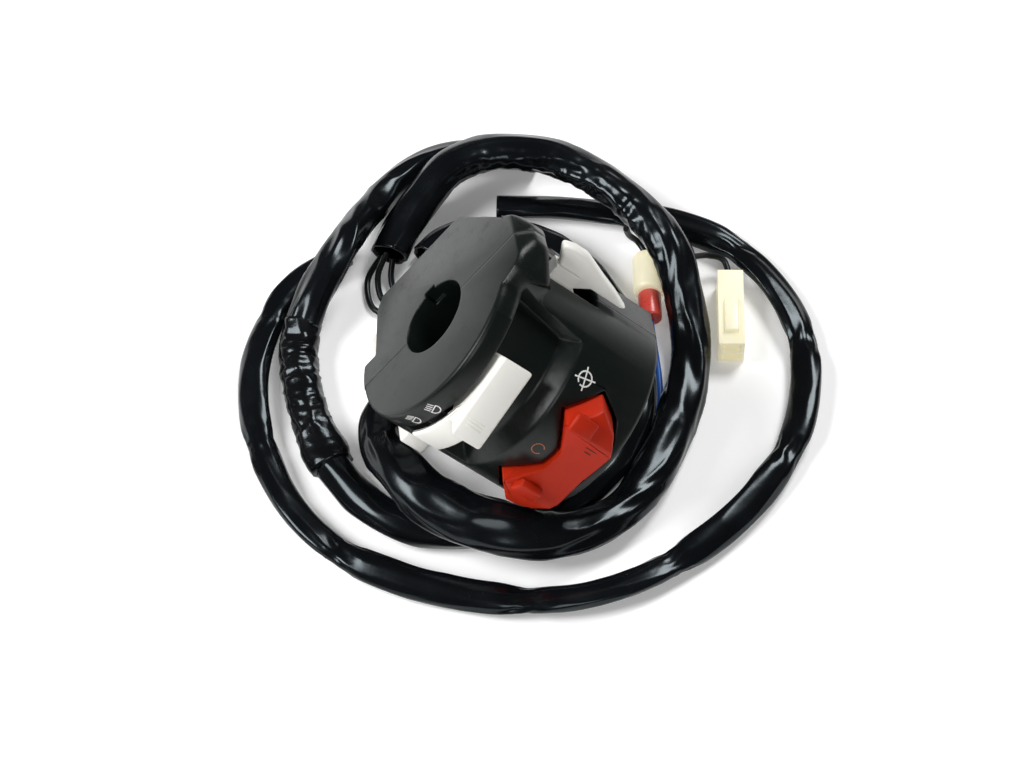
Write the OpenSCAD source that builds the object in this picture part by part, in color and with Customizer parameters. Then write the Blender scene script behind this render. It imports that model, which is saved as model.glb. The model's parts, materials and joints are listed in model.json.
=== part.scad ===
// Handlebar switch cluster for a motorbike: two housing halves that clamp a handlebar, a headlight
// slider, an engine stop rocker, a turn signal lever, a horn button, a passing button and a harness.
// Every piece is drawn in the switch's own frame, in mm: x runs along the split line towards the turn
// lever, y out of the front half, and z along the handlebar from the end face with the bar hole.
// seated() then lays the cluster on a table the way it rests there, with the bore's middle at the origin.

/* [Handlebar] */
// Diameter of the handlebar that the two halves clamp
bar_d = 22.2; // [22:0.1:22.6]

/* [Housing] */
// Radius of the drum-shaped front half
body_r = 30; // [29.8:0.1:31]
// Length along the handlebar
body_len = 54; // [54:0.5:58]
// Distance from the bar's centre to the flat back
back_depth = 30; // [29.5:0.5:33]
// Thickness of the moulded walls
wall = 2.2; // [1.8:0.1:2.4]
// Width of the rim beside the headlight slider
rim_w = 6.5; // [6.2:0.1:6.8]
// Depth of the groove that the headlight slider runs in
groove_depth = 5; // [4.8:0.1:5.2]

/* [Switches] */
// Angle between two positions of the headlight slider
light_step = 15; // [10:0.5:15]
// Angle that the engine stop rocker swings through
stop_swing = 10; // [6:1:10]
// Travel of the turn lever to each side
turn_travel = 4; // [2:0.5:4]
// Travel of the turn lever when it is pushed to cancel
cancel_travel = 1.5; // [0.5:0.25:1.5]
// Travel of the horn and passing buttons
push_travel = 2.5; // [1.5:0.25:2.5]

/* [Harness] */
// Outside diameter of the main harness sleeve
main_d = 10.5; // [9.5:0.1:10.5]
// Outside diameter of the inner harness sleeve
inner_d = 9.5; // [8.5:0.1:9.5]
// Outside diameter of the outer harness sleeve
outer_d = 8; // [7:0.1:8]
// Outside diameter of one insulated wire
wire_d = 1.8; // [1.4:0.1:2]

/* [Hidden] */
$fn = 64;
gap = 0.3;
edge = 0.8;
far = 60;

// How the cluster rests on the table: the bore's dip, then the turn about the bore.
lean = 40;
roll = 24;

// Walls of the two halves, and the groove round the front one.
bar_r = bar_d / 2;
saddle_r = bar_r + 2.3;
face_wall = wall + 0.8;
end_wall = wall + 0.3;
cavity_z0 = face_wall;
cavity_z1 = body_len - end_wall;
drum_in_r = body_r - wall;
groove_r = body_r - groove_depth;
groove_in_r = groove_r - wall;
switch_room = groove_in_r - saddle_r;
groove_z1 = body_len - 29.5;
groove_z2 = groove_z1 + 0.8 * groove_depth;
groove_a0 = 20;
groove_a1 = 140;
groove_end_a = 28.5;
groove_end_slant = -11.8;

// Outline of the rear half, from the seam on the button side round to the seam on the lever side.
foot = [-21, -26];
step_x = -24;
step_y = -9;
back_y = -back_depth;
lever_side = [body_r, -11.5];

// The two housing screws.
screw_x = 14.5;
screw_z = [body_len - 6.5, body_len - 5.5];
screw_r = 2;
boss_r = 4.6;
insert_r = 3;
insert_len = 8.5;
head_r = 3.6;
head_h = 3;
head_seat = back_y + 6;

// Headlight switch.
light_a0 = 62;
light_a1 = 103;
tail_a1 = 133;
light_z0 = 8;
light_z1 = 18;
pad_a = 71;
pad_r = body_r + 1.9;
tail_r = body_r + 0.4;
foot_a0 = 76;
foot_a1 = 88;
foot_z0 = 10.5;
foot_z1 = 14.5;
carrier_a0 = 64;
carrier_a1 = 100;
carrier_r0 = saddle_r + 0.19 * switch_room;
carrier_r1 = groove_in_r - 0.11 * switch_room;
foot_r = (carrier_r0 + carrier_r1) / 2;
carrier_z0 = 7.5;
contact_r = foot_r - 0.03 * switch_room;
contact_half = 0.23 * switch_room;
detent_r = groove_in_r - 0.6 * switch_room;
spring_bore = 0.17 * switch_room;
ball_a = 95;
ball_z = 16.6;
ball_r = 0.16 * switch_room;
board_t = 1.6;
rivet_h = 0.6;
light_board_z = cavity_z0 + board_t;

// Engine stop switch.
stop_x = -2;
stop_pivot = [stop_x, 25.5];
stop_pin_r = 1.25;
stop_rest = stop_swing / 2;
hub_z0 = body_len - 14;
hub_z1 = body_len - 4.2;
hub_y0 = 18.3;
plunger_z = body_len - 9.5;
rocker_z = body_len - 21.2;
pin_z = rocker_z + 0.2;
pin_len = 20;
lug_t = 3;
blade_pivot = [stop_x, 16.3];
fulcrum_r = 0.25;
stop_base_y = 15.2;
stop_base_t = 1.6;
stop_base_z = [body_len - 15.6, body_len - 5];
stop_screw_x = 8.5;
stop_screw_z = body_len - 13.8;
stop_contact_x = 6.5;
stop_contact_z = [plunger_z - 2.5, plunger_z + 2.5];

// Turn switch.
turn_n = -1;
turn_z = 19.5;
turn_board_x = saddle_r + 0.2;
turn_board_t = 0.15 * switch_room;
turn_board_z = [5, body_len - 12];
turn_screw_y = 4;
turn_screw_z = [8, body_len - 14.5];
carriage_x0 = turn_board_x + 0.28 * switch_room;
carriage_x1 = groove_in_r - 0.05 * switch_room;
fixed_contact_x = carriage_x0 - 0.09 * switch_room;
carriage_half = 6;
centring_len = turn_travel + 3;
stem_x = (carriage_x0 + carriage_x1) / 2 - 0.25;
lever_top = body_r + 9.5;
lever_low = body_r + cancel_travel + gap;
collar_x = body_r - 2.5;
window_z = [10, 32];
window_y = [-5.5, 3.5];

// Horn button, then passing button: centre in y and z, size, outer end and retaining flange.
horn_c = [4.6, 18.5];
horn_size = [7.4, 8];
horn_out = -body_r - 3.5;
horn_flange_x = 4.1 - body_r;
pass_c = [-19.5, 11];
pass_size = [11, 13];
pass_out = -29;
pass_flange_x = -17;
flange_t = 1.3;
flange_spare = [3, 2];
stem_r = 2.2;
stem_len = 2.5;
disc_r = 3.2;
disc_t = 0.6;
push_rivet_h = 0.3;
push_base_t = 1.4;
rib_t = 1.3;
horn_rib_z = horn_c[1] + horn_size[1] / 2 + 2.2;
function push_base_x(flange_x) = flange_x + flange_t + stem_len + disc_t + push_travel + gap + push_rivet_h;
function base_span(flange_x) = [push_base_x(flange_x), push_base_x(flange_x) + push_base_t];

// Harness outlet: a spout on the rear half, and the way that it points.
outlet = [-22.2, -19, body_len - 16];
outlet_dir = [-0.58, -0.46, -0.67];
spout_r = main_d / 2 + 3.4;
spout_in_r = main_d / 2 + 1.5;
spout_len = 8;
grommet_len = 12;

// Height of the table below the bore's middle, where the rear half's far corner touches it.
table_z = cos(lean) * (cos(roll) * foot[0] + sin(roll) * foot[1]) - sin(lean) * body_len / 2;

// Helpers

module seated() {
    rotate([0, 90 + lean, 0])
        rotate([0, 0, 180 - roll])
            translate([0, 0, -body_len / 2])
                children();
}

// The same placing for a point, so that the harness starts where the outlet is.
function seat_dir(v) = let (
        a = 180 - roll,
        b = 90 + lean,
        x = v[0] * cos(a) - v[1] * sin(a),
        y = v[0] * sin(a) + v[1] * cos(a)
    ) [x * cos(b) + v[2] * sin(b), y, -x * sin(b) + v[2] * cos(b)];
function seat_point(p) = seat_dir(p - [0, 0, body_len / 2]);

module box(x, y, z) {
    translate([x[0], y[0], z[0]])
        cube([x[1] - x[0], y[1] - y[0], z[1] - z[0]]);
}

module sector(r, a, z) {
    rotate([0, 0, a[0]])
        rotate_extrude(angle = a[1] - a[0])
            translate([r[0], z[0]])
                square([r[1] - r[0], z[1] - z[0]]);
}

// A round bar along x, y or out from the bore's axis at an angle.
module bar_x(r, x, y, z) {
    translate([x[0], y, z])
        rotate([0, 90, 0])
            cylinder(r = r, h = x[1] - x[0]);
}

module bar_y(r, x, y, z) {
    translate([x, y[0], z])
        rotate([-90, 0, 0])
            cylinder(r = r, h = y[1] - y[0]);
}

module bar_out(r, a, reach, z) {
    rotate([0, 0, a])
        bar_x(r, reach, 0, z);
}

module front_side() {
    intersection() {
        children();
        box([-far, far], [0, far], [-far, 2 * far]);
    }
}

module rear_side() {
    intersection() {
        children();
        box([-far, far], [-far, 0], [-far, 2 * far]);
    }
}

// Points the +z axis of its children along a direction from a point.
module aim(from, dir) {
    translate(from)
        rotate([0, acos(dir[2] / norm(dir)), atan2(dir[1], dir[0])])
            children();
}

// Swept tubes: a smooth line through a few points, then rings of sides round it.

function curve_point(p, i, t) = let (
        a = p[max(i - 1, 0)],
        b = p[i],
        c = p[i + 1],
        d = p[min(i + 2, len(p) - 1)]
    ) 0.5 * (2 * b + (c - a) * t + (2 * a - 5 * b + 4 * c - d) * t * t + (3 * b - a - 3 * c + d) * t * t * t);
function curve(p, steps) = [
    for (i = [0:len(p) - 2])
        for (k = [0:steps - 1])
            curve_point(p, i, k / steps),
    p[len(p) - 1]
];
function unit(v) = v / norm(v);
function heading(p, i) = unit(p[min(i + 1, len(p) - 1)] - p[max(i - 1, 0)]);
function square_to(v, t) = unit(v - (v * t) * t);
function side_vectors(p) = [
    for (i = 0, v = square_to([0.1, 0.2, 1], heading(p, 0));
         i < len(p);
         i = i + 1, v = square_to(v, heading(p, min(i, len(p) - 1))))
        v
];
function path_len(p) = len(p) < 2 ? 0 : [for (i = 0, s = 0; i < len(p); i = i + 1,
    s = s + (i < len(p) ? norm(p[i] - p[i - 1]) : 0)) s][len(p) - 1];

// A tube may take only one stretch of a line, and neighbours on one line then meet face to face.
module tube(p, r, sides, span = []) {
    v = side_vectors(p);
    first = len(span) == 2 ? span[0] : 0;
    last = len(span) == 2 ? span[1] : len(p) - 1;
    rings = last - first + 1;
    points = [
        for (i = [first:last])
            for (k = [0:sides - 1])
                let (w = cross(heading(p, i), v[i]))
                p[i] + r * (cos(360 * k / sides) * v[i] + sin(360 * k / sides) * w)
    ];
    walls = [
        for (i = [0:rings - 2])
            for (k = [0:sides - 1])
                let (n = (k + 1) % sides, a = i * sides, b = a + sides)
                for (f = [[a + k, b + k, b + n], [a + k, b + n, a + n]])
                    f
    ];
    near = [for (k = [0:sides - 1]) k];
    end = [for (k = [sides - 1:-1:0]) (rings - 1) * sides + k];
    polyhedron(points, concat(walls, [near, end]));
}

// A coil spring along +z from the origin, one unbroken tube with six sides.
module coil(r, h, turns, wire_r) {
    steps = 8 * turns;
    tube([for (i = [0:steps])
        [r * cos(360 * i / 8), r * sin(360 * i / 8), wire_r + (h - 2 * wire_r) * i / steps]], wire_r, 6);
}

// Housing

// The raised lip beside the turn lever, at the end face.
module shoulder() {
    intersection() {
        rotate([90, 0, 0])
            linear_extrude(far, center = true)
                polygon([[20, 0], [body_r + 3.5, 0], [body_r + 7, 3.5], [body_r + 7, 7.5], [body_r + 5.8, 9],
                    [body_r + 1, 12.5], [20, 12.5]]);
        linear_extrude(far)
            polygon([[20, -14], [body_r + 1.5, -11], [body_r + 4.8, -7.5], [body_r + 7.5, -2],
                [body_r + 7.5, 4], [body_r + 1.5, 12.6], [20, 16]]);
    }
}

module groove() {
    difference() {
        rotate([0, 0, groove_a0])
            rotate_extrude(angle = groove_a1 - groove_a0)
                polygon([[groove_r, rim_w], [far, rim_w],
                    [far, groove_z1 + 0.8 * (far - groove_r)], [groove_r, groove_z1]]);
        rotate([0, 0, groove_end_a])
            translate([body_r, 0, (rim_w + groove_z1) / 2])
                rotate([groove_end_slant, 0, 0])
                    box([-far, far], [-far, 0], [-far, far]);
    }
}

// Plan of the rocker, seen from the front, grown by g all round for its opening.
function rocker_plan(g) = [
    for (side = [1, -1])
        for (p = side > 0 ? rocker_half(g) : [for (i = [len(rocker_half(g)) - 1:-1:0]) rocker_half(g)[i]])
            [stop_x + side * p[0], p[1]]
];
function rocker_half(g) = [
    [3.5 - 0.5 * g, rocker_z + 6.4 - g], [12.8, rocker_z - 1.4 * g], [20 + 1.5 * g, rocker_z + 7.5 - 0.2 * g],
    [16.5 + g, rocker_z + 13.7 + g], [11 + 0.5 * g, rocker_z + 17.4 + g]
];

// A prism with a plan in x and z, standing along y.
module standing(plan, y) {
    translate([0, y[1], 0])
        rotate([90, 0, 0])
            linear_extrude(y[1] - y[0])
                polygon(plan);
}

module push_window(c, size, x, spare) {
    box(x, [c[0] - size[0] / 2 - spare, c[0] + size[0] / 2 + spare],
        [c[1] - size[1] / 2 - spare, c[1] + size[1] / 2 + spare]);
}

module turn_window() {
    box([groove_in_r - 1.3, far], window_y, window_z);
}

module front_housing() {
    color("#2b2d2a")
    seated()
    front_side()
    difference() {
        union() {
            difference() {
                union() {
                    rotate_extrude()
                        polygon([[0, 0], [body_r - edge, 0], [body_r, edge], [body_r, body_len - edge],
                            [body_r - edge, body_len], [0, body_len]]);
                    shoulder();
                }
                groove();
                rotate_extrude()
                    polygon([[saddle_r, cavity_z0], [groove_in_r, cavity_z0], [groove_in_r, groove_z1 + 1.1],
                        [drum_in_r, groove_z2 + 1.1], [drum_in_r, cavity_z1], [saddle_r, cavity_z1]]);
                push_window(horn_c, horn_size, [-far, -20], gap);
                push_window(horn_c, horn_size + [5, 5], [horn_flange_x - gap, -15], 0);
                turn_window();
            }
            // Screw bosses, the lug of the rocker's pin and the posts under the switch bases.
            for (i = [0, 1])
                bar_y(boss_r, i == 0 ? screw_x : -screw_x, [0, 10.5], screw_z[i]);
            box([stop_x - 4, stop_x + 4], [20, body_r - 1.5], [pin_z, pin_z + lug_t]);
            for (x = [-stop_screw_x, stop_screw_x])
                box([x - 1.5, x + 1.5], [8, stop_base_y - stop_base_t],
                    [stop_base_z[0], stop_base_z[1] - 1.5]);
            for (z = turn_screw_z)
                box([bar_r, turn_board_x], [turn_screw_y - 2.5, turn_screw_y + 2.5], [z - 2, z + 2]);
            for (z = [2 * horn_c[1] - horn_rib_z - rib_t, horn_rib_z])
                box([-24, -12], [0, 12], [z, z + rib_t]);
        }
        translate([0, 0, -far])
            cylinder(r = bar_r, h = 3 * far, $fn = 96);
        // Slot for the slider's foot, and the three detent notches.
        sector([groove_in_r - 1, groove_r + 1], [foot_a0 - 0.8, foot_a1 + 2 * light_step + 0.8],
            [foot_z0 - 0.4, foot_z1 + 0.4]);
        for (i = [0:2])
            rotate([0, 0, ball_a + i * light_step])
                translate([groove_in_r - 1.4, 0, ball_z])
                    sphere(r = ball_r + 0.4, $fn = 32);
        intersection() {
            standing(rocker_plan(0.8), [saddle_r + 1.5, far]);
            box([-far, far], [0, far], [groove_z2 + 1.2, far]);
        }
        translate([stop_pivot[0], stop_pivot[1], pin_z - 1])
            cylinder(r = stop_pin_r, h = pin_len + 1);
        for (i = [0, 1])
            bar_y(insert_r, i == 0 ? screw_x : -screw_x, [-1, insert_len], screw_z[i]);
        for (x = [-stop_screw_x, stop_screw_x])
            bar_y(0.9, x, [9, 20], stop_screw_z);
        for (z = turn_screw_z)
            bar_x(0.9, [turn_board_x - 2, turn_board_x + 6], turn_screw_y, z);
        for (a = [54, 146])
            rotate([0, 0, a])
                translate([contact_r, 0, 1.2])
                    cylinder(r = 0.9, h = 6);
    }
}

module rear_outline() {
    polygon([[-15, 0], [-15, step_y], [step_x, step_y], foot, [-18, back_y], [15, back_y],
        lever_side, [body_r, 0]]);
    intersection() {
        circle(r = body_r);
        translate([-body_r, step_y])
            square([body_r, -step_y]);
    }
}

module rear_cavity() {
    translate([0, 0, cavity_z0])
        linear_extrude(cavity_z1 - cavity_z0)
            polygon([[wall + 0.4 - body_r, 0], [wall + 1.6 - body_r, step_y + wall],
                [step_x + wall, step_y + wall], foot + [wall, 1.2], [-17, back_y + wall], [14, back_y + wall],
                [body_r - wall - 0.2, lever_side[1] - 0.7], [body_r - wall - 0.2, 0]]);
}

module rear_housing() {
    color("#2f312e")
    seated()
    difference() {
        union() {
            difference() {
                union() {
                    linear_extrude(body_len)
                        rear_outline();
                    rear_side()
                        shoulder();
                }
                rear_cavity();
            }
            translate([0, 0, cavity_z0])
                rear_side()
                    cylinder(r = saddle_r, h = cavity_z1 - cavity_z0);
            for (i = [0, 1])
                bar_y(boss_r, i == 0 ? screw_x : -screw_x, [back_y + 1, 0], screw_z[i]);
            aim(outlet, outlet_dir)
                translate([0, 0, -3])
                    cylinder(r = spout_r, h = 3 + spout_len);
        }
        translate([0, 0, -far])
            cylinder(r = bar_r, h = 3 * far, $fn = 96);
        // Small relief at the mouth of the bar hole.
        box([-2, 2], [-bar_r - 1.3, -bar_r + 2], [-1, 4]);
        turn_window();
        push_window(pass_c, pass_size, [-far, pass_flange_x + 1], gap);
        for (i = [0, 1]) {
            bar_y(screw_r + 0.2, i == 0 ? screw_x : -screw_x, [-far, 1], screw_z[i]);
            bar_y(head_r + 0.4, i == 0 ? screw_x : -screw_x, [-far, head_seat], screw_z[i]);
        }
        aim(outlet, outlet_dir)
            translate([0, 0, -4])
                cylinder(r = spout_in_r, h = 20);
        // Room for the grommet's flange where the wall stands close to the spout's end.
        aim(outlet, outlet_dir)
            translate([0, 0, spout_len])
                cylinder(r = spout_r + 0.1, h = grommet_len - spout_len);
    }
}

module housing_screws() {
    color("#b8b8b4")
    seated()
    for (i = [0, 1])
        difference() {
            union() {
                bar_y(screw_r, i == 0 ? screw_x : -screw_x, [head_seat, insert_len - 0.5], screw_z[i]);
                bar_y(head_r, i == 0 ? screw_x : -screw_x, [head_seat - head_h, head_seat], screw_z[i]);
            }
            for (turn = [0, 90])
                translate([i == 0 ? screw_x : -screw_x, head_seat - head_h, screw_z[i]])
                    rotate([0, turn, 0])
                        cube([4.4, 3, 0.9], center = true);
        }
}

module screw_inserts() {
    color("#c9a44c")
    seated()
    for (i = [0, 1])
        difference() {
            bar_y(insert_r, i == 0 ? screw_x : -screw_x, [0.2, insert_len], screw_z[i]);
            bar_y(screw_r + 0.05, i == 0 ? screw_x : -screw_x, [-1, insert_len + 1], screw_z[i]);
        }
}

// Headlight switch

module light_knob() {
    color("#e9e6dc")
    seated()
    union() {
        // The thumb block ends in a flat pad.
        intersection() {
            sector([groove_r + 0.5, far], [light_a0, light_a1], [light_z0, light_z1]);
            rotate([0, 0, pad_a])
                box([0, pad_r], [-far, far], [0, far]);
        }
        sector([tail_r, tail_r + 1.6], [light_a1 - 8, tail_a1], [light_z0 - 1, light_z1 - 1.5]);
        sector([foot_r, groove_r + 1], [foot_a0, foot_a1], [foot_z0, foot_z1]);
    }
}

module light_carrier() {
    color("#d8d4c4")
    seated()
    difference() {
        sector([carrier_r0, carrier_r1], [carrier_a0, carrier_a1], [carrier_z0, light_z1]);
        sector([foot_r - 0.05, carrier_r1 + 1], [foot_a0 - 0.15, foot_a1 + 0.15],
            [foot_z0 - 0.05, foot_z1 + 0.05]);
        for (a = [70, 94])
            rotate([0, 0, a])
                translate([contact_r, 0, 0])
                    cylinder(r = spring_bore, h = 10.4);
        bar_out(ball_r + 0.1, ball_a, [detent_r, body_r], ball_z);
    }
}

module light_contact() {
    color("#c98a52")
    seated()
    difference() {
        sector([contact_r - contact_half, contact_r + contact_half], [66, 98], [5.6, 6.2]);
        for (a = [70, 94])
            rotate([0, 0, a])
                translate([contact_r, 0, 0])
                    cylinder(r = 0.6, h = 20);
    }
}

module light_contact_springs() {
    color("#9a9c9e")
    seated()
    for (a = [70, 94])
        rotate([0, 0, a])
            translate([contact_r, 0, 6.25])
                coil(spring_bore - 0.5, 4.1, 4, 0.25);
}

module light_board() {
    color("#7a4a26")
    seated()
    difference() {
        sector([saddle_r + 0.8, groove_in_r - 0.4], [48, 152], [cavity_z0, light_board_z]);
        for (a = [54, 146])
            rotate([0, 0, a])
                translate([contact_r, 0, 0])
                    cylinder(r = 1, h = 20);
    }
}

module light_fixed_contacts() {
    color("#cfa85a")
    seated()
    for (a = [68, 83, 98, 113, 128])
        rotate([0, 0, a])
            translate([contact_r, 0, light_board_z])
                cylinder(r = 1.5, h = rivet_h);
}

module light_detent_ball() {
    color("#b9bcbe")
    seated()
    rotate([0, 0, ball_a])
        translate([groove_in_r - gap - ball_r, 0, ball_z])
            sphere(r = ball_r, $fn = 32);
}

module light_detent_spring() {
    color("#9a9c9e")
    seated()
    rotate([0, 0, ball_a])
        translate([detent_r + 0.05, 0, ball_z])
            rotate([0, 90, 0])
                coil(ball_r - 0.4, groove_in_r - gap - 2 * ball_r - detent_r - 0.1, 3, 0.25);
}

module light_board_screws() {
    color("#b8b8b4")
    seated()
    for (a = [54, 146])
        rotate([0, 0, a])
            translate([contact_r, 0, 0])
                union() {
                    translate([0, 0, 1.4])
                        cylinder(r = 0.85, h = light_board_z - 1.4);
                    translate([0, 0, light_board_z])
                        cylinder(r = 1.7, h = 1);
                }
}

// Engine stop switch

// Turns a piece of the rocker about its pivot to where the photo shows it.
module rocked(angle, pivot) {
    translate([pivot[0], pivot[1], 0])
        rotate([0, 0, angle])
            translate([-pivot[0], -pivot[1], 0])
                children();
}

module stop_rocker() {
    color("#d8391f")
    seated()
    rocked(stop_rest, stop_pivot)
    difference() {
        union() {
            // The arms: a chevron in plan, with a shallow V between two raised finger pads.
            intersection() {
                standing(rocker_plan(0), [20, far]);
                translate([stop_x, 0, 0])
                    linear_extrude(far)
                        polygon([[-20.6, 21.2], [-4, 22.5], [4, 22.5], [20.6, 21.2], [20.6, 27.4],
                            [18.5, 29.9], [12.5, 32.6], [10.8, 32], [0, 31.4], [-10.8, 32], [-12.5, 32.6],
                            [-18.5, 29.9], [-20.6, 27.4]]);
            }
            box([stop_x - 4, stop_x + 4], [hub_y0, 30], [hub_z0, hub_z1]);
        }
        translate([stop_pivot[0], stop_pivot[1], 0])
            cylinder(r = stop_pin_r + 0.05, h = 100);
        bar_y(1.7, stop_x, [hub_y0 - 1, 23.4], plunger_z);
    }
}

module stop_pivot_pin() {
    color("#b8b8b4")
    seated()
    translate([stop_pivot[0], stop_pivot[1], pin_z])
        cylinder(r = stop_pin_r, h = pin_len);
}

module stop_plunger() {
    color("#d8d4c4")
    seated()
    rocked(stop_rest, stop_pivot)
    union() {
        bar_y(1.6, stop_x, [18.4, 20.8], plunger_z);
        translate([stop_x, 18.4, plunger_z])
            intersection() {
                sphere(r = 1.6, $fn = 32);
                box([-3, 3], [-0.9, 0], [-3, 3]);
            }
    }
}

module stop_plunger_spring() {
    color("#9a9c9e")
    seated()
    rocked(stop_rest, stop_pivot)
    translate([stop_x, 20.85, plunger_z])
        rotate([-90, 0, 0])
            coil(1.15, 2.5, 3, 0.25);
}

module stop_blade() {
    color("#c98a52")
    seated()
    rocked(-stop_rest, blade_pivot)
    union() {
        box([stop_x - 8, stop_x + 8], [16.6, 17.1], stop_contact_z);
        for (x = [-stop_contact_x, stop_contact_x])
            bar_y(0.9, stop_x + x, [16.45, 16.8], plunger_z);
    }
}

module stop_base() {
    color("#7a4a26")
    seated()
    difference() {
        box([-12, 10], [stop_base_y - stop_base_t, stop_base_y], stop_base_z);
        for (x = [-stop_screw_x, stop_screw_x])
            bar_y(1, x, [10, 20], stop_screw_z);
    }
}

module stop_terminals() {
    color("#cfa85a")
    seated()
    union() {
        for (x = [-stop_contact_x, stop_contact_x])
            box([stop_x + x - 1, stop_x + x + 1], [stop_base_y, stop_base_y + 0.3], stop_contact_z);
        // The blade tilts on this post's round crest.
        box([stop_x - 0.8, stop_x + 0.8], [stop_base_y, blade_pivot[1]], stop_contact_z);
        translate([blade_pivot[0], blade_pivot[1], stop_contact_z[0]])
            cylinder(r = fulcrum_r, h = stop_contact_z[1] - stop_contact_z[0]);
    }
}

module stop_base_screws() {
    color("#b8b8b4")
    seated()
    for (x = [-stop_screw_x, stop_screw_x])
        union() {
            bar_y(0.85, x, [9.5, stop_base_y], stop_screw_z);
            bar_y(1.3, x, [stop_base_y, stop_base_y + 0.6], stop_screw_z);
        }
}

// Turn switch

module turn_lever() {
    color("#e9e6dc")
    seated()
    union() {
        // The fin, its collar inside the window and the square stem.
        translate([0, turn_n + 1.8, 0])
            rotate([90, 0, 0])
                linear_extrude(3.6)
                    polygon([[collar_x + 1.5, 15.5], [body_r + 3, 16], [body_r + 7.4, 13.3], [body_r + 8.5, 13],
                        [lever_top, 16.5], [lever_top, 21], [body_r + 6.5, 29], [body_r + 4.7, 34.5],
                        [lever_low + 0.6, 40], [lever_low, 38.5], [lever_low + 0.1, 28],
                        [collar_x + 1.5, 23.5]]);
        box([collar_x, collar_x + 1.6], [turn_n - 4, turn_n + 4], [turn_z - 4.5, turn_z + 4.5]);
        box([body_r - 1, body_r + 3], [turn_n - 2, turn_n + 3], [turn_z - 4.5, turn_z + 3.5]);
        box([stem_x, collar_x + 0.5], [turn_n - 2, turn_n + 2], [turn_z - 2, turn_z + 2]);
    }
}

module turn_carriage() {
    color("#d8d4c4")
    seated()
    difference() {
        box([carriage_x0, carriage_x1], [turn_n - 4, turn_n + 4],
            [turn_z - carriage_half, turn_z + carriage_half]);
        box([stem_x - cancel_travel - gap, far], [turn_n - 2 - gap, turn_n + 2 + gap],
            [turn_z - 2 - gap, turn_z + 2 + gap]);
    }
}

module turn_contact() {
    color("#c98a52")
    seated()
    box([carriage_x0 - 0.5, carriage_x0], [turn_n - 3, turn_n + 3], [turn_z - 4, turn_z + 4]);
}

module turn_board() {
    color("#7a4a26")
    seated()
    difference() {
        union() {
            box([turn_board_x, turn_board_x + turn_board_t], [-9, 7], turn_board_z);
            for (z = [turn_z - carriage_half - centring_len - 1.5, turn_z + carriage_half + centring_len])
                box([turn_board_x, carriage_x1 - gap], [turn_n - 3, turn_n + 3], [z, z + 1.5]);
        }
        for (z = turn_screw_z)
            bar_x(1, [0, far], turn_screw_y, z);
    }
}

module turn_fixed_contacts() {
    color("#cfa85a")
    seated()
    for (z = [-6.5, 0, 6.5])
        box([turn_board_x + turn_board_t, fixed_contact_x], [turn_n - 2, turn_n + 2],
            [turn_z + z - 1, turn_z + z + 1]);
}

module turn_push_spring() {
    color("#9a9c9e")
    seated()
    translate([carriage_x1, turn_n, turn_z])
        rotate([0, 90, 0])
            coil(3.5, collar_x - carriage_x1, 3, 0.35);
}

module turn_centring_springs() {
    color("#9a9c9e")
    seated()
    for (z = [turn_z - carriage_half - centring_len, turn_z + carriage_half])
        translate([(carriage_x0 + carriage_x1) / 2, turn_n, z])
            coil(2.1, centring_len, 5, 0.25);
}

module turn_board_screws() {
    color("#b8b8b4")
    seated()
    for (z = turn_screw_z)
        union() {
            bar_x(0.85, [turn_board_x - 1.8, turn_board_x + turn_board_t], turn_screw_y, z);
            bar_x(1.7, [turn_board_x + turn_board_t, turn_board_x + turn_board_t + 1], turn_screw_y, z);
        }
}

// Horn and passing buttons, alike but for their places

module push_button(c, size, out, flange_x) {
    union() {
        push_window(c, size, [out, flange_x + 0.1], 0);
        push_window(c, size + flange_spare, [flange_x, flange_x + flange_t], 0);
        bar_x(stem_r, [flange_x + flange_t, flange_x + flange_t + stem_len], c[0], c[1]);
    }
}

module push_disc(c, flange_x) {
    disc_x = flange_x + flange_t + stem_len;
    difference() {
        bar_x(disc_r, [disc_x, disc_x + disc_t], c[0], c[1]);
        bar_x(0.6, [-far, far], c[0], c[1]);
    }
}

module push_spring(c, flange_x) {
    translate([flange_x + flange_t, c[0], c[1]])
        rotate([0, 90, 0])
            coil(4.1, push_base_x(flange_x) - flange_x - flange_t, 4, 0.35);
}

module push_contacts(c, flange_x) {
    base_x = push_base_x(flange_x);
    for (z = [-1.7, 1.7])
        bar_x(1, [base_x - push_rivet_h, base_x], c[0], c[1] + z);
}

module horn_button() {
    color("#e9e6dc")
    seated()
    push_button(horn_c, horn_size, horn_out, horn_flange_x);
}

module horn_spring() {
    color("#9a9c9e")
    seated()
    push_spring(horn_c, horn_flange_x);
}

module horn_contact_disc() {
    color("#c98a52")
    seated()
    push_disc(horn_c, horn_flange_x);
}

module horn_base() {
    color("#7a4a26")
    seated()
    box(base_span(horn_flange_x), [0.5, 11], [2 * horn_c[1] - horn_rib_z, horn_rib_z]);
}

module horn_fixed_contacts() {
    color("#cfa85a")
    seated()
    push_contacts(horn_c, horn_flange_x);
}

module pass_button() {
    color("#e9e6dc")
    seated()
    push_button(pass_c, pass_size, pass_out, pass_flange_x);
}

module pass_spring() {
    color("#9a9c9e")
    seated()
    push_spring(pass_c, pass_flange_x);
}

module pass_contact_disc() {
    color("#c98a52")
    seated()
    push_disc(pass_c, pass_flange_x);
}

module pass_base() {
    color("#7a4a26")
    seated()
    box(base_span(pass_flange_x), [back_y + wall, -saddle_r - 0.1], [cavity_z0, 20]);
}

module pass_fixed_contacts() {
    color("#cfa85a")
    seated()
    push_contacts(pass_c, pass_flange_x);
}

// Harness

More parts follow.
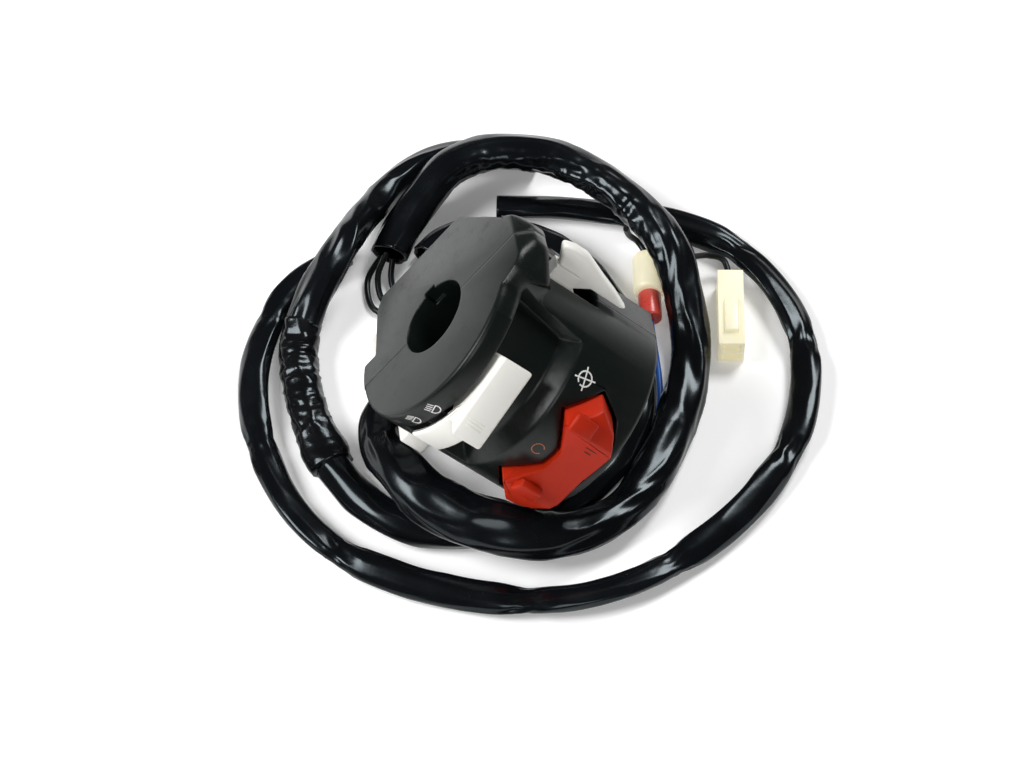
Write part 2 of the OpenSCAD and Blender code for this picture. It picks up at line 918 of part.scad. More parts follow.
module wire_grommet() {
    bore = main_d / 2 + 0.05;
    color("#1c1c1c")
    seated()
    aim(outlet, outlet_dir)
        rotate_extrude()
            polygon([[bore, -2], [spout_in_r - 0.05, -2], [spout_in_r - 0.05, spout_len], [spout_r, spout_len],
                [spout_r, spout_len + 1.6], [spout_in_r - 0.5, grommet_len], [bore, grommet_len]]);
}

// Routes lie on the table: x, y and the height of the line above where it would rest.
ring_steps = 2;
function laid(route, d) = [for (p = route) [p[0], p[1], table_z + d / 2 + p[2]]];
function at_outlet(u) = seat_point(outlet + u * unit(outlet_dir));

main_route = [
    [-28.5, 8.5, 3.5], [-33.5, 3.5, 2.5], [-35.5, -4, 2.5], [-35, -12, 4], [-31.5, -19.5, 8], [-26, -26, 10],
    [-18, -32.5, 10], [-7, -35.5, 10.5], [4, -36, 9], [14, -34, 5], [24, -29, 2], [34, -19.5, 0.4],
    [40.5, -6, 0.1], [44.5, 10, 0], [46, 26, 0.2], [45, 40, 1], [41, 53.5, 4.5], [35, 65, 9], [24, 77, 9.5], [9, 87, 9.5],
    [-6, 91.5, 10], [-20, 90, 10], [-31, 83.5, 9], [-38, 73, 5], [-42.5, 64, 1.5], [-44.5, 56, 0]
];
inner_route = [
    [-33.5, 57, 0], [-29.5, 63.5, 0], [-22, 68, 0], [-11, 69, 0], [0, 66.5, 0], [10, 60.5, 0], [18.5, 52, 0],
    [25, 42, 0], [30, 31, 0], [33, 20, 0], [33, 9, 0], [30, -2, 0], [24.5, -12, 0], [17, -20.5, 0],
    [9, -26.5, 0], [-1, -31, 0], [-12, -33.5, 0], [-24, -33, 0], [-37, -27, 0], [-47, -17.5, 0]
];
tape_route = [[-54.5, -6, 0], [-60, 6, 0], [-63.5, 18, 0.5]];
tail_route = [
    [-64, 27, 2.5], [-62, 35, 6.5], [-58.5, 45, 9], [-56, 54, 8.5], [-53.5, 63.5, 6], [-50.5, 73, 3],
    [-46.5, 82, 1], [-40, 90, 0.2], [-31, 95, 0], [-20, 97, 0], [-8, 97, 0]
];
outer_route = [
    [-57.5, 55, 0], [-62, 49.5, 0], [-68, 42, 0], [-73, 31, 0], [-75, 16, 0], [-73, 0, 0], [-66.5, -16, 0],
    [-56, -32, 0], [-40, -44, 0], [-22, -50, 0], [-3, -52, 0], [15, -51, 0], [33, -45, 0], [51, -32.5, 0],
    [67, -13, 0], [77, 9, 0], [79, 31, 0], [75, 49, 0], [66, 64, 0], [53, 75, 0], [37, 80.5, 0], [19, 82, 0],
    [1, 81.5, 0], [-17, 79, 0]
];

outlet_route = [for (u = [-1, 5, grommet_len]) at_outlet(u)];
main_line = curve(concat(outlet_route, laid(main_route, main_d)), ring_steps);
inner_line = curve(laid(concat(inner_route, tape_route, tail_route), inner_d), ring_steps);
tape_first = ring_steps * (len(inner_route) - 1);
tape_last = ring_steps * (len(inner_route) + len(tape_route));
outer_line = curve(laid(outer_route, outer_d), ring_steps);

module main_sleeve() {
    color("#161616")
    tube(main_line, main_d / 2, 10);
}

module inner_sleeve() {
    color("#161616")
    tube(inner_line, inner_d / 2, 10, [0, tape_first]);
}

module tape_wrap() {
    color("#1b1b1c")
    tube(inner_line, inner_d / 2, 12, [tape_first, tape_last]);
}

module inner_sleeve_tail() {
    color("#161616")
    tube(inner_line, inner_d / 2, 10, [tape_last, len(inner_line) - 1]);
}

module outer_sleeve() {
    color("#161616")
    tube(outer_line, outer_d / 2, 10);
}

echo(main_len = path_len(main_line), inner_len = path_len(inner_line), outer_len = path_len(outer_line));

// Bare wires, at their height above the table in the same way.

module laid_wire(route) {
    tube(curve(laid(route, wire_d), 3), wire_d / 2, 8);
}

module splice_wire_black() {
    color("#22201e")
    laid_wire([[-45, 55.4, 6], [-46.5, 49, 3], [-44, 43, 0], [-38, 43, 0], [-35, 49.5, 2.5],
        [-33.7, 56.6, 5.4]]);
}

module splice_wire_red() {
    color("#b3261e")
    laid_wire([[-46.8, 55.6, 3.5], [-49.5, 48.5, 0.5], [-46, 39.5, 0], [-37.5, 39, 0], [-32, 46, 0.5],
        [-32.2, 55.7, 2.8]]);
}

module splice_wire_green() {
    color("#1f7a6a")
    laid_wire([[-43.3, 55.2, 3.5], [-43, 50.5, 1.5], [-41.5, 47, 0], [-39.5, 47, 0], [-37.5, 51, 1],
        [-35.2, 57.4, 2.8]]);
}

// Leads inside the rear half: to the turn board, to the passing switch and to the stop switch.
function from_outlet(offsets) = [for (p = offsets) outlet + p];
module inner_leads() {
    color("#3a5fa8")
    seated()
    for (route = [
        concat(from_outlet([[3, 0.5, 0.7], [4.4, 1, 1.5], [9, 1.6, 0.5], [14.2, 2, -2.5]]),
            [[3, -17.5, 31], [9.5, -14, 30], [12.5, -8.4, 30]]),
        concat(from_outlet([[2.2, -0.7, 2.1], [3.6, -0.3, 3], [6.5, 0.2, 4], [11, -2, 0], [13.2, -4, -5]]),
            [[-5.5, -22.5, 22], [-7.2, -20, 14.5]]),
        from_outlet([[2.2, 2.3, 0.1], [3.6, 3, 0.8], [4.5, 7, 3.2], [3, 12, 4.5], [2.5, 16, 4.5],
            [2.5, 21, 4], [4.9, 28, 3.8], [8.8, 32.2, 4.3]])])
        tube(curve(route, 4), wire_d / 2, 8);
}

// Connectors at the side of the main sleeve.

connector_at = [55, 51];
connector_turn = 8.5;
connector_size = [7.4, 26, 9];
bullet_from = [29, 67.5];
bullet_turn = 10;
bullet_len = 13;
bullet_r = 4.6;
barrel_len = 9;
barrel_r = 3.3;
terminal_at = [39.2, 12];

module at_connector() {
    translate([connector_at[0], connector_at[1], table_z])
        rotate([0, 0, connector_turn])
            children();
}

// The bullet connector's axis points towards the front.
module at_bullet(along) {
    translate([bullet_from[0], bullet_from[1], table_z + bullet_r])
        rotate([90, 0, bullet_turn])
            translate([0, 0, along])
                children();
}

module connector_lead() {
    color("#22201e")
    laid_wire([[42.2, 64.8, 10.5], [46, 68.5, 7], [50.5, 69.5, 4.5], [53, 64.4, 3.6]]);
}

module connector_housing() {
    half = connector_size / 2;
    color("#e6dcc0")
    at_connector()
        difference() {
            union() {
                box([-half[0], half[0]], [-half[1], half[1]], [0, connector_size[2]]);
                box([-2, 2], [-half[1] + 4, 2], [connector_size[2] - 0.1, connector_size[2] + 1.4]);
            }
            for (z = [2.6, 6.4])
                box([-2.6, 2.6], [-half[1] - 1, -2], [z - 1.2, z + 1.2]);
        }
}

module connector_terminals() {
    color("#cfa85a")
    at_connector()
        for (z = [2.6, 6.4])
            box([-2.2, 2.2], [-connector_size[1] / 2 + 2, -2], [z - 0.4, z + 0.4]);
}

module bullet_lead() {
    color("#22201e")
    laid_wire([[22.1, 69.5, 13.4], [22.9, 70.6, 9], [25.5, 71.5, 5], [28.9, 67.8, 3.7]]);
}

module bullet_sleeve() {
    color("#e6dcc0")
    at_bullet(0)
        cylinder(r = bullet_r, h = bullet_len);
}

module bullet_barrel() {
    color("#c8342a")
    at_bullet(bullet_len)
        cylinder(r = barrel_r, h = barrel_len);
}

module earth_lead() {
    color("#2f6fc4")
    laid_wire([[32.85, 45.6, 3.7], [35, 38.5, 1.5], [37.5, 30, 0], [39, 22, 0], [39.2, 16.2, 0]]);
}

module earth_terminal() {
    color("#9a9c9e")
    translate([terminal_at[0], terminal_at[1], table_z])
        union() {
            box([-1.5, 1.5], [-3, 1], [0, 0.8]);
            bar_y(1.2, 0, [0.5, 4], 1.2);
        }
}

front_housing();
rear_housing();
housing_screws();
screw_inserts();
light_knob();
light_carrier();
light_contact();
light_contact_springs();
light_board();
light_fixed_contacts();
light_detent_ball();
light_detent_spring();
light_board_screws();
stop_rocker();
stop_pivot_pin();
stop_plunger();
stop_plunger_spring();
stop_blade();
stop_base();
stop_terminals();
stop_base_screws();
turn_lever();
turn_carriage();
turn_contact();
turn_board();
turn_fixed_contacts();
turn_push_spring();
turn_centring_springs();
turn_board_screws();
horn_button();
horn_spring();
horn_contact_disc();
horn_base();
horn_fixed_contacts();
pass_button();
pass_spring();
pass_contact_disc();
pass_base();
pass_fixed_contacts();
wire_grommet();
inner_leads();
main_sleeve();
splice_wire_black();
splice_wire_red();
splice_wire_green();
inner_sleeve();
tape_wrap();
inner_sleeve_tail();
outer_sleeve();
connector_lead();
connector_housing();
connector_terminals();
bullet_lead();
bullet_sleeve();
bullet_barrel();
earth_lead();
earth_terminal();
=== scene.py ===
# %% [markdown]
# # A handlebar switch cluster
# A motorbike's left-hand switch lies on a white table in the loops of its own wiring harness.
# The hard parts come from the CAD model, which this script loads as a fixed frame, and the script
# dresses them: soft crumpled sleeves, rounded plastic, printed signs, finishes, light and a camera.

# %% Load the frame
import json
import math

import bmesh
import bpy
from mathutils import Matrix, Vector, noise

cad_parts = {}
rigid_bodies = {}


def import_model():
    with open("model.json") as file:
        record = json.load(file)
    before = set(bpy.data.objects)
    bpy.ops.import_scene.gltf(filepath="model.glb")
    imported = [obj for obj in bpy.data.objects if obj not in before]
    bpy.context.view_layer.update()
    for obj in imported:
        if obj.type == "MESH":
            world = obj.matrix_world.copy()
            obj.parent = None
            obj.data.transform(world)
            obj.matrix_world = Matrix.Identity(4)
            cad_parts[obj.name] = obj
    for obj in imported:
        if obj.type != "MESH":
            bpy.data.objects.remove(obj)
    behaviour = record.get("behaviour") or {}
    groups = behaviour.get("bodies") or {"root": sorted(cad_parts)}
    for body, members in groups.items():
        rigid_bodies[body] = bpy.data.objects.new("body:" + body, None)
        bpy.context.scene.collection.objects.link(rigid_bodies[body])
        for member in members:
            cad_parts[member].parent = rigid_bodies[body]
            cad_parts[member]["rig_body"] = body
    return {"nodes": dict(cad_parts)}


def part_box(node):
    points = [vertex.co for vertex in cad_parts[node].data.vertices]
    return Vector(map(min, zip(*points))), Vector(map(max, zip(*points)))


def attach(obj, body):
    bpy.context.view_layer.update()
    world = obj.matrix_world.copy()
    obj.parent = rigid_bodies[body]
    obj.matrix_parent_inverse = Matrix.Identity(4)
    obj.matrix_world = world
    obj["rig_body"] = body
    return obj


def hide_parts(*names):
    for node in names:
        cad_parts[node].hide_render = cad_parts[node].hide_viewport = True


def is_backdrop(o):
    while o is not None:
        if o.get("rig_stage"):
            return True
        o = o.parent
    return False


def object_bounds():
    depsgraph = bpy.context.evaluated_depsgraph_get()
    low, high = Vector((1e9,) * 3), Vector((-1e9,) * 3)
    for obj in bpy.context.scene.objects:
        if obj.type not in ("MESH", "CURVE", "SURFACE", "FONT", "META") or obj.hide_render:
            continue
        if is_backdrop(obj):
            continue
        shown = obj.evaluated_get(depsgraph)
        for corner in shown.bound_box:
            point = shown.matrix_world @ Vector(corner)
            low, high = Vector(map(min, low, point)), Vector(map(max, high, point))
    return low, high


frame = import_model()
cad_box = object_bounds()
nodes = frame["nodes"]
MM = 0.001


def in_mm(box):
    return [[round(c / MM, 1) for c in corner] for corner in box]


print("CAD nodes:", len(nodes), "box in mm:", in_mm(cad_box))

# %% [markdown]
# ## Two frames of reference
# The table is level, but the switch lies on it askew. Shapes on the switch are easier to think of in
# the switch's own frame: x along the split line, y out of the front half and z along the handlebar,
# in millimetres from the end face. One matrix carries such a point to its place on the table.

# %% The switch's own frame
BORE_DIP = 40
BORE_TURN = 24
BODY_LENGTH = 54
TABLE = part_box("rear_housing")[0].z


def turned(degrees, axis):
    return Matrix.Rotation(math.radians(degrees), 4, axis)


SWITCH = (
    turned(90 + BORE_DIP, "Y")
    @ turned(180 - BORE_TURN, "Z")
    @ Matrix.Scale(MM, 4)
    @ Matrix.Translation((0, 0, -BODY_LENGTH / 2))
)
SWITCH_BACK = SWITCH.inverted()


def on_switch(x, y, z):
    return SWITCH @ Vector((x, y, z))


print("table height in mm:", round(TABLE / MM, 2))

# %% [markdown]
# ## Camera
# The photograph looks down on the table at about 55 degrees with a long lens, so the far loops of
# the harness look nearly as large as the near ones. A camera could be dragged into place by eye. Here
# its place comes from a turn, a tilt and a distance, because each of them can be corrected alone.

# %% Camera
CAMERA_AZIMUTH = 9.24
CAMERA_ELEVATION = 55.46
CAMERA_DISTANCE = 1.0
CAMERA_TARGET = Vector((0.00146, -0.00652, 0))
FOCAL_PIXELS = 3718
IMAGE_WIDTH = 1024
SENSOR_WIDTH = 36


def new_object(name, data):
    made = bpy.data.objects.new(name, data)
    bpy.context.collection.objects.link(made)
    return made


azimuth = math.radians(CAMERA_AZIMUTH)
elevation = math.radians(CAMERA_ELEVATION)
towards_camera = Vector((
    math.sin(azimuth) * math.cos(elevation),
    -math.cos(azimuth) * math.cos(elevation),
    math.sin(elevation),
))
camera_data = bpy.data.cameras.new("photo_camera")
camera_data.sensor_width = SENSOR_WIDTH
camera_data.lens = FOCAL_PIXELS / IMAGE_WIDTH * SENSOR_WIDTH
camera = new_object("photo_camera", camera_data)
camera.location = CAMERA_TARGET + towards_camera * CAMERA_DISTANCE
camera.rotation_euler = towards_camera.to_track_quat("Z", "Y").to_euler()
bpy.context.scene.camera = camera
print("lens in mm:", round(camera_data.lens, 1))

# %% [markdown]
# ## Shader maths as Python
# A finish is a small graph of nodes. The class Value wraps one socket and gives it Python's operators,
# so that a formula reads as a formula, and Finish makes any node from its type, settings and inputs.

# %% Value: one socket


class Value:
    """One output socket of a finish. Operators on it add Math nodes."""

    def __init__(self, finish, socket):
        self.finish = finish
        self.socket = socket

    def math(self, operation, *others):
        inputs = dict(enumerate((self, *others)))
        return self.finish.node("ShaderNodeMath", {"operation": operation}, inputs)

    def __add__(self, other):
        return self.math("ADD", other)

    def __mul__(self, other):
        return self.math("MULTIPLY", other)

    def __sub__(self, other):
        return self.math("SUBTRACT", other)

    def __rsub__(self, other):
        return self * -1 + other

    __radd__ = __add__
    __rmul__ = __mul__

    def step(self, low, high):
        """0 below low, 1 above high, and a smooth rise between them."""
        return self.finish.node(
            "ShaderNodeMapRange", {"interpolation_type": "SMOOTHSTEP"}, {"Value": self, 1: low, 2: high}
        )


# %% Finish: one material


class Finish:
    """A material under construction, with the Principled shader as its surface."""

    def __init__(self, name):
        self.material = bpy.data.materials.new(name)
        self.material.use_nodes = True
        self.tree = self.material.node_tree
        self.shader = self.tree.nodes["Principled BSDF"]
        self.place = self.node("ShaderNodeTexCoord", out="Object")

    def fill(self, node, inputs):
        for key, value in inputs.items():
            if isinstance(value, Value):
                self.tree.links.new(value.socket, node.inputs[key])
            else:
                node.inputs[key].default_value = value

    def node(self, kind, settings=None, inputs=None, out=0):
        node = self.tree.nodes.new(kind)
        for key, value in (settings or {}).items():
            setattr(node, key, value)
        self.fill(node, inputs or {})
        return Value(self, node.outputs[out])

    def noise(self, scale, detail=3, roughness=0.5, place=None):
        return self.node(
            "ShaderNodeTexNoise", None,
            {"Vector": place or self.place, "Scale": scale, "Detail": detail, "Roughness": roughness},
        )

    def mix(self, factor, a, b):
        """A colour between a and b. The node's inputs 0, 6 and 7 are its factor and its two colours."""
        def colour(c):
            return c if isinstance(c, Value) else (*c, 1)
        inputs = {0: factor, 6: colour(a), 7: colour(b)}
        return self.node("ShaderNodeMix", {"data_type": "RGBA"}, inputs, out=2)

    def bump(self, height, strength, distance, normal=None):
        inputs = {"Height": height, "Strength": strength, "Distance": distance}
        if normal:
            inputs["Normal"] = normal
        return self.node("ShaderNodeBump", None, inputs)

    def surface(self, **inputs):
        self.fill(self.shader, {key.replace("_", " "): value for key, value in inputs.items()})
        print("finish:", self.material.name, "nodes:", len(self.tree.nodes))
        return self.material


# %% [markdown]
# ## Moulded plastic
# The housing, knobs and buttons are moulded. Such plastic has a fine spark-eroded grain, slight swirls
# from the mould and a little dust. A photograph of plastic could be wrapped round it, but noise has no
# seams. The grain is a bump of a fraction of a millimetre, the gloss varies with it, and a Bevel node
# shades the edges as if they were a little rounder.

# %% Moulded plastic
GRAIN_DEPTH = 0.03 * MM
MEAN_DULLING = 0.1


def moulded(name, colour, shade, gloss, grain=900, edge=0.4, level=0.5):
    """Plastic from a mould: two close tones, fine grain, handling marks, edges shaded round by edge mm."""
    finish = Finish(name)
    cloud = finish.noise(60, detail=4, roughness=0.6)
    fine = finish.noise(grain, detail=2, roughness=0.6)
    marks = finish.noise(260, detail=5, roughness=0.7).step(0.52, 0.72)
    round_edge = finish.node("ShaderNodeBevel", {"samples": 6}, {"Radius": edge * MM})
    return finish.surface(
        Base_Color=finish.mix(cloud.step(0.35, 0.7), colour, shade),
        Roughness=fine * 0.08 + marks * 0.08 + cloud * 0.1 + (gloss - MEAN_DULLING),
        Normal=finish.bump(fine * 0.7 + cloud * 0.3, 0.5, GRAIN_DEPTH, round_edge),
        Specular_IOR_Level=level,
    )


BLACK = (0.0036, 0.0062, 0.0056)
DULL_BLACK = (0.0030, 0.0050, 0.0045)
housing_black = moulded("housing_black", BLACK, DULL_BLACK, gloss=0.34, edge=0.6, level=0.28)
housing_lip = moulded("housing_lip", BLACK, DULL_BLACK, gloss=0.30, edge=2.6, level=0.4)
switch_white = moulded("switch_white", (0.82, 0.81, 0.76), (0.78, 0.77, 0.72), gloss=0.36)
stop_red = moulded("stop_red", (0.40, 0.020, 0.005), (0.36, 0.016, 0.004), gloss=0.38, level=0.12)
natural_plastic = moulded("natural_plastic", (0.62, 0.58, 0.46), (0.56, 0.52, 0.40), gloss=0.45)
grommet_rubber = moulded("grommet_rubber", (0.008,) * 3, (0.012,) * 3, gloss=0.7, grain=1500)
red_vinyl = moulded("red_vinyl", (0.56, 0.05, 0.035), (0.66, 0.11, 0.08), gloss=0.3)

# %% [markdown]
# ## Ink
# The signs are printed on the housing, and two dark lines on the rocker. Ink takes the grain of what is
# under it, so it is the moulded finish again, duller and with nearly no rounding at its edges.

# %% Ink


def ink(name, colour, shade):
    return moulded(name, colour, shade, gloss=0.5, edge=0.05)


sign_white = ink("sign_white", (0.80, 0.80, 0.78), (0.66, 0.66, 0.64))
sign_grey = ink("sign_grey", (0.09, 0.09, 0.09), (0.06, 0.06, 0.06))
sign_amber = ink("sign_amber", (0.36, 0.12, 0.035), (0.26, 0.085, 0.025))
sign_dark = ink("sign_dark", (0.16, 0.010, 0.004), (0.12, 0.008, 0.003))

# %% [markdown]
# ## Milky nylon
# The connectors are of unpainted nylon, which is milky and lets some light through. Clear glass would be
# too clean, so a little transmission is mixed with light that scatters inside, and a faint painted glow in
# the nylon's own colour stands in for the light that reaches the inside from all round.

# %% Milky nylon


def translucent_with_painted_glow(name, colour, shade):
    """Milky nylon that lets some light through, and a faint painted glow in its own colour."""
    finish = Finish(name)
    cloud = finish.noise(150, detail=3, roughness=0.5)
    return finish.surface(
        Base_Color=finish.mix(cloud, colour, shade),
        Roughness=cloud * 0.15 + 0.25,
        Normal=finish.bump(finish.noise(500, detail=2), 0.3, GRAIN_DEPTH),
        Transmission_Weight=0.25,
        Subsurface_Weight=0.4,
        Subsurface_Radius=(0.003, 0.0025, 0.0015),
        Subsurface_Scale=0.5,
        # Painted glow: the nylon shines faintly in its own colour, though it is no lamp.
        Emission_Color=finish.mix(cloud, colour, shade),
        Emission_Strength=0.16,
    )


milky_nylon = translucent_with_painted_glow("milky_nylon", (0.95, 0.91, 0.72), (0.90, 0.85, 0.64))

# %% [markdown]
# ## Contact boards and metals
# Inside, brown laminate boards carry the contacts. Springs, screws and contacts are of bare metal. Few of
# them are ever seen, so their finishes are simple: paper fibres in the laminate, and on the metals noise
# that is stretched into fine scratches, with duller spots.

# %% Contact boards and metals
SCRATCH_STRETCH = (300, 3000, 1200)
SCRATCH_DEPTH = 0.01 * MM


def laminate():
    finish = Finish("contact_board")
    fibre = finish.noise(700, detail=6, roughness=0.7)
    return finish.surface(
        Base_Color=finish.mix(fibre, (0.22, 0.11, 0.04), (0.12, 0.055, 0.02)),
        Roughness=fibre * 0.2 + 0.4,
        Normal=finish.bump(fibre, 0.4, GRAIN_DEPTH),
    )


def metal(name, colour, shade, gloss):
    """Stamped or turned metal: fine scratches, with duller spots."""
    finish = Finish(name)
    stretched = finish.node(
        "ShaderNodeVectorMath", {"operation": "MULTIPLY"}, {0: finish.place, 1: SCRATCH_STRETCH}
    )
    scratch = finish.noise(1, detail=3, roughness=0.6, place=stretched)
    spots = finish.noise(400, detail=4, roughness=0.7).step(0.5, 0.75)
    return finish.surface(
        Base_Color=finish.mix(spots, colour, shade),
        Metallic=1.0,
        Roughness=scratch * 0.15 + spots * 0.2 + gloss,
        Normal=finish.bump(scratch, 0.3, SCRATCH_DEPTH),
    )


contact_board = laminate()
brass = metal("brass", (0.72, 0.52, 0.22), (0.45, 0.30, 0.12), gloss=0.22)
contact_bronze = metal("contact_bronze", (0.70, 0.42, 0.24), (0.42, 0.23, 0.12), gloss=0.25)
spring_steel = metal("spring_steel", (0.50, 0.50, 0.50), (0.30, 0.29, 0.28), gloss=0.25)
zinc_steel = metal("zinc_steel", (0.62, 0.62, 0.60), (0.42, 0.40, 0.36), gloss=0.28)

# %% [markdown]
# ## Which CAD node has which finish
# The works inside the housing keep their CAD shape, because a maker's drawing is already right for them,
# and only get a finish. The outer mouldings and the soft pieces get theirs later, with their new shape.

# %% Finish of each CAD node
NODE_FINISHES = {
    natural_plastic: ["light_carrier", "turn_carriage", "stop_plunger"],
    contact_board: ["light_board", "stop_base", "turn_board", "horn_base", "pass_base"],
    brass: [
        "light_fixed_contacts", "turn_fixed_contacts", "stop_terminals", "horn_fixed_contacts",
        "pass_fixed_contacts", "screw_inserts", "connector_terminals",
    ],
    contact_bronze: [
        "light_contact", "stop_blade", "turn_contact", "horn_contact_disc", "pass_contact_disc",
    ],
    spring_steel: [name for name in nodes if name.endswith(("_spring", "_springs"))],
    zinc_steel: [name for name in nodes if name.endswith("screws")]
    + ["light_detent_ball", "stop_pivot_pin", "earth_terminal"],
    grommet_rubber: ["wire_grommet"],
}


def give(piece, material):
    piece.data.materials.clear()
    piece.data.materials.append(material)


for material, names in NODE_FINISHES.items():
    for name in names:
        give(nodes[name], material)
print("nodes with a finish:", sum(len(names) for names in NODE_FINISHES.values()))

# %% [markdown]
# ## Soft vinyl
# The harness runs in thin black vinyl sleeves. They shine, they pick up dust, and they crumple
# where they bend. The large folds are modelled, because they change the outline, and the finest wrinkles
# are a bump. The wires at the splice show their colour only near one end, so their finish changes there.

# %% Vinyl and wire finishes
MEAN_DUST = 0.06
COLOUR_EDGE = 0.2
WIRE_BLACK = (0.006, 0.006, 0.006)


def vinyl(name, colour, bloom, gloss, wrinkle, depth, black_to=None):
    """Soft vinyl. A wire can be black as far as black_to, in millimetres along x, and coloured after it."""
    finish = Finish(name)
    cloud = finish.noise(70, detail=4, roughness=0.6)
    dust = finish.noise(1400, detail=3, roughness=0.7).step(0.62, 0.8)
    fine = finish.noise(wrinkle, detail=3, roughness=0.55)
    tone = finish.mix(cloud.step(0.4, 0.75) * 0.6 + dust * 0.25, colour, bloom)
    if black_to is not None:
        x = finish.node("ShaderNodeSeparateXYZ", None, {"Vector": finish.place})
        coloured = x.step((black_to - COLOUR_EDGE) * MM, (black_to + COLOUR_EDGE) * MM)
        tone = finish.mix(coloured, WIRE_BLACK, tone)
    return finish.surface(
        Base_Color=tone,
        Roughness=cloud * 0.12 + dust * 0.2 + (gloss - MEAN_DUST),
        Normal=finish.bump(fine, 0.4, depth * MM),
        Coat_Weight=cloud.step(0.3, 0.7) * 0.12,
        Coat_Roughness=0.12,
        Specular_IOR_Level=0.26,
        Specular_Tint=(0.80, 0.94, 1.0, 1),
    )


def wire_vinyl(name, colour, bloom, black_to=None):
    return vinyl(name, colour, bloom, gloss=0.35, wrinkle=600, depth=0.05, black_to=black_to)


sleeve_vinyl = vinyl(
    "sleeve_vinyl", (0.0025, 0.003, 0.0038), (0.005, 0.006, 0.0075), gloss=0.2, wrinkle=160, depth=0.15
)
tape_vinyl = vinyl(
    "tape_vinyl", (0.003, 0.003, 0.0034), (0.008, 0.008, 0.009), gloss=0.2, wrinkle=420, depth=0.3
)
wire_black = wire_vinyl("wire_black", WIRE_BLACK, (0.012, 0.012, 0.012))
wire_red = wire_vinyl("wire_red", (0.40, 0.02, 0.014), (0.48, 0.05, 0.04), black_to=-36)
wire_green = wire_vinyl("wire_green", (0.012, 0.22, 0.17), (0.02, 0.27, 0.22), black_to=-39.5)
wire_blue = wire_vinyl("wire_blue", (0.02, 0.10, 0.40), (0.04, 0.15, 0.48))

# %% [markdown]
# ## The harness's lines
# Each sleeve follows a few points on the table: x, y and the height of the sleeve's lowest line above
# the table, all in millimetres. They repeat the CAD model's points, except that the main sleeve's front
# bend lies up to two millimetres further in. A Bezier curve would do for the line, but the folds need
# rings at equal steps, so a smooth curve through the points is cut into short equal steps.

# %% Routes
OUTLET = Vector((-22.2, -19, 38))
OUTLET_WAY = Vector((-0.58, -0.46, -0.67)).normalized()
GROMMET_LENGTH = 12
MAIN_WIDTH = 10.5
INNER_WIDTH = 9.5
OUTER_WIDTH = 8

main_route = [
    (-28.5, 8.5, 3.5), (-33.5, 3.5, 2.5), (-35.5, -4, 2.5), (-34, -12, 4.5), (-29.7, -19, 8.5),
    (-24.2, -25, 10.5), (-17, -31, 10.5), (-7, -34.8, 10.5), (4, -36, 9), (14, -34, 5), (24, -29, 2),
    (34, -19.5, 0.4), (40.5, -6, 0.1), (44.5, 10, 0), (46, 26, 0.2), (45, 40, 1), (41, 53.5, 4.5),
    (35, 65, 9), (24, 77, 9.5), (9, 87, 9.5), (-6, 91.5, 10), (-20, 90, 10), (-31, 83.5, 9),
    (-38, 73, 5), (-42.5, 64, 1.5), (-44.5, 56, 0),
]
inner_route = [
    (-33.5, 57, 0), (-29.5, 63.5, 0), (-22, 68, 0), (-11, 69, 0), (0, 66.5, 0), (10, 60.5, 0),
    (18.5, 52, 0), (25, 42, 0), (30, 31, 0), (33, 20, 0), (33, 9, 0), (30, -2, 0), (24.5, -12, 0),
    (17, -20.5, 0), (9, -26.5, 0), (-1, -31, 0), (-12, -33.5, 0), (-24, -33, 0), (-37, -27, 0),
    (-47, -17.5, 0),
]
tape_route = [(-47, -17.5, 0), (-54.5, -6, 0), (-60, 6, 0), (-63.5, 18, 0.5), (-64, 27, 2.5)]
tail_route = [
    (-64, 27, 2.5), (-62, 35, 6.5), (-58.5, 45, 9), (-56, 54, 8.5), (-53.5, 63.5, 6), (-50.5, 73, 3),
    (-46.5, 82, 1), (-40, 90, 0.2), (-31, 95, 0), (-20, 97, 0), (-8, 97, 0),
]
outer_route = [
    (-57.5, 55, 0), (-62, 49.5, 0), (-68, 42, 0), (-73, 31, 0), (-75, 16, 0), (-73, 0, 0),
    (-66.5, -16, 0), (-56, -32, 0), (-40, -44, 0), (-22, -50, 0), (-3, -52, 0), (15, -51, 0),
    (33, -45, 0), (51, -32.5, 0), (67, -13, 0), (77, 9, 0), (79, 31, 0), (75, 49, 0), (66, 64, 0),
    (53, 75, 0), (37, 80.5, 0), (19, 82, 0), (1, 81.5, 0), (-17, 79, 0),
]
print("route points:", [len(r) for r in (main_route, inner_route, tape_route, tail_route, outer_route)])

# %% Smooth lines
RING_STEP = 0.8 * MM
FINE_CUTS = 24
ROUNDING = 1e-9


def laid(route, width):
    """The route's middle line in metres, for a sleeve of that width in millimetres."""
    return [Vector((x * MM, y * MM, TABLE + (width / 2 + height) * MM)) for x, y, height in route]


def curve_point(points, i, t):
    """A point between points i and i + 1, on a curve that passes smoothly through all of them."""
    a = points[max(i - 1, 0)]
    b = points[i]
    c = points[i + 1]
    d = points[min(i + 2, len(points) - 1)]
    slope = (c - a) * t
    bend = (2 * a - 5 * b + 4 * c - d) * t * t
    swing = (3 * b - a - 3 * c + d) * t ** 3
    return 0.5 * (2 * b + slope + bend + swing)


def line_length(line):
    return sum((b - a).length for a, b in zip(line, line[1:]))


def even_line(points, step):
    """A smooth line through the points, cut at equal steps."""
    spans = range(len(points) - 1)
    fine = [curve_point(points, i, k / FINE_CUTS) for i in spans for k in range(FINE_CUTS)]
    fine.append(points[-1])
    total = line_length(fine)
    count = max(2, round(total / step))
    line = [fine[0]]
    wanted = total / count
    walked = 0.0
    for a, b in zip(fine, fine[1:]):
        length = (b - a).length
        while walked + length >= wanted * len(line) - ROUNDING and len(line) < count:
            line.append(a.lerp(b, (wanted * len(line) - walked) / length))
        walked += length
    return line + [fine[-1]]


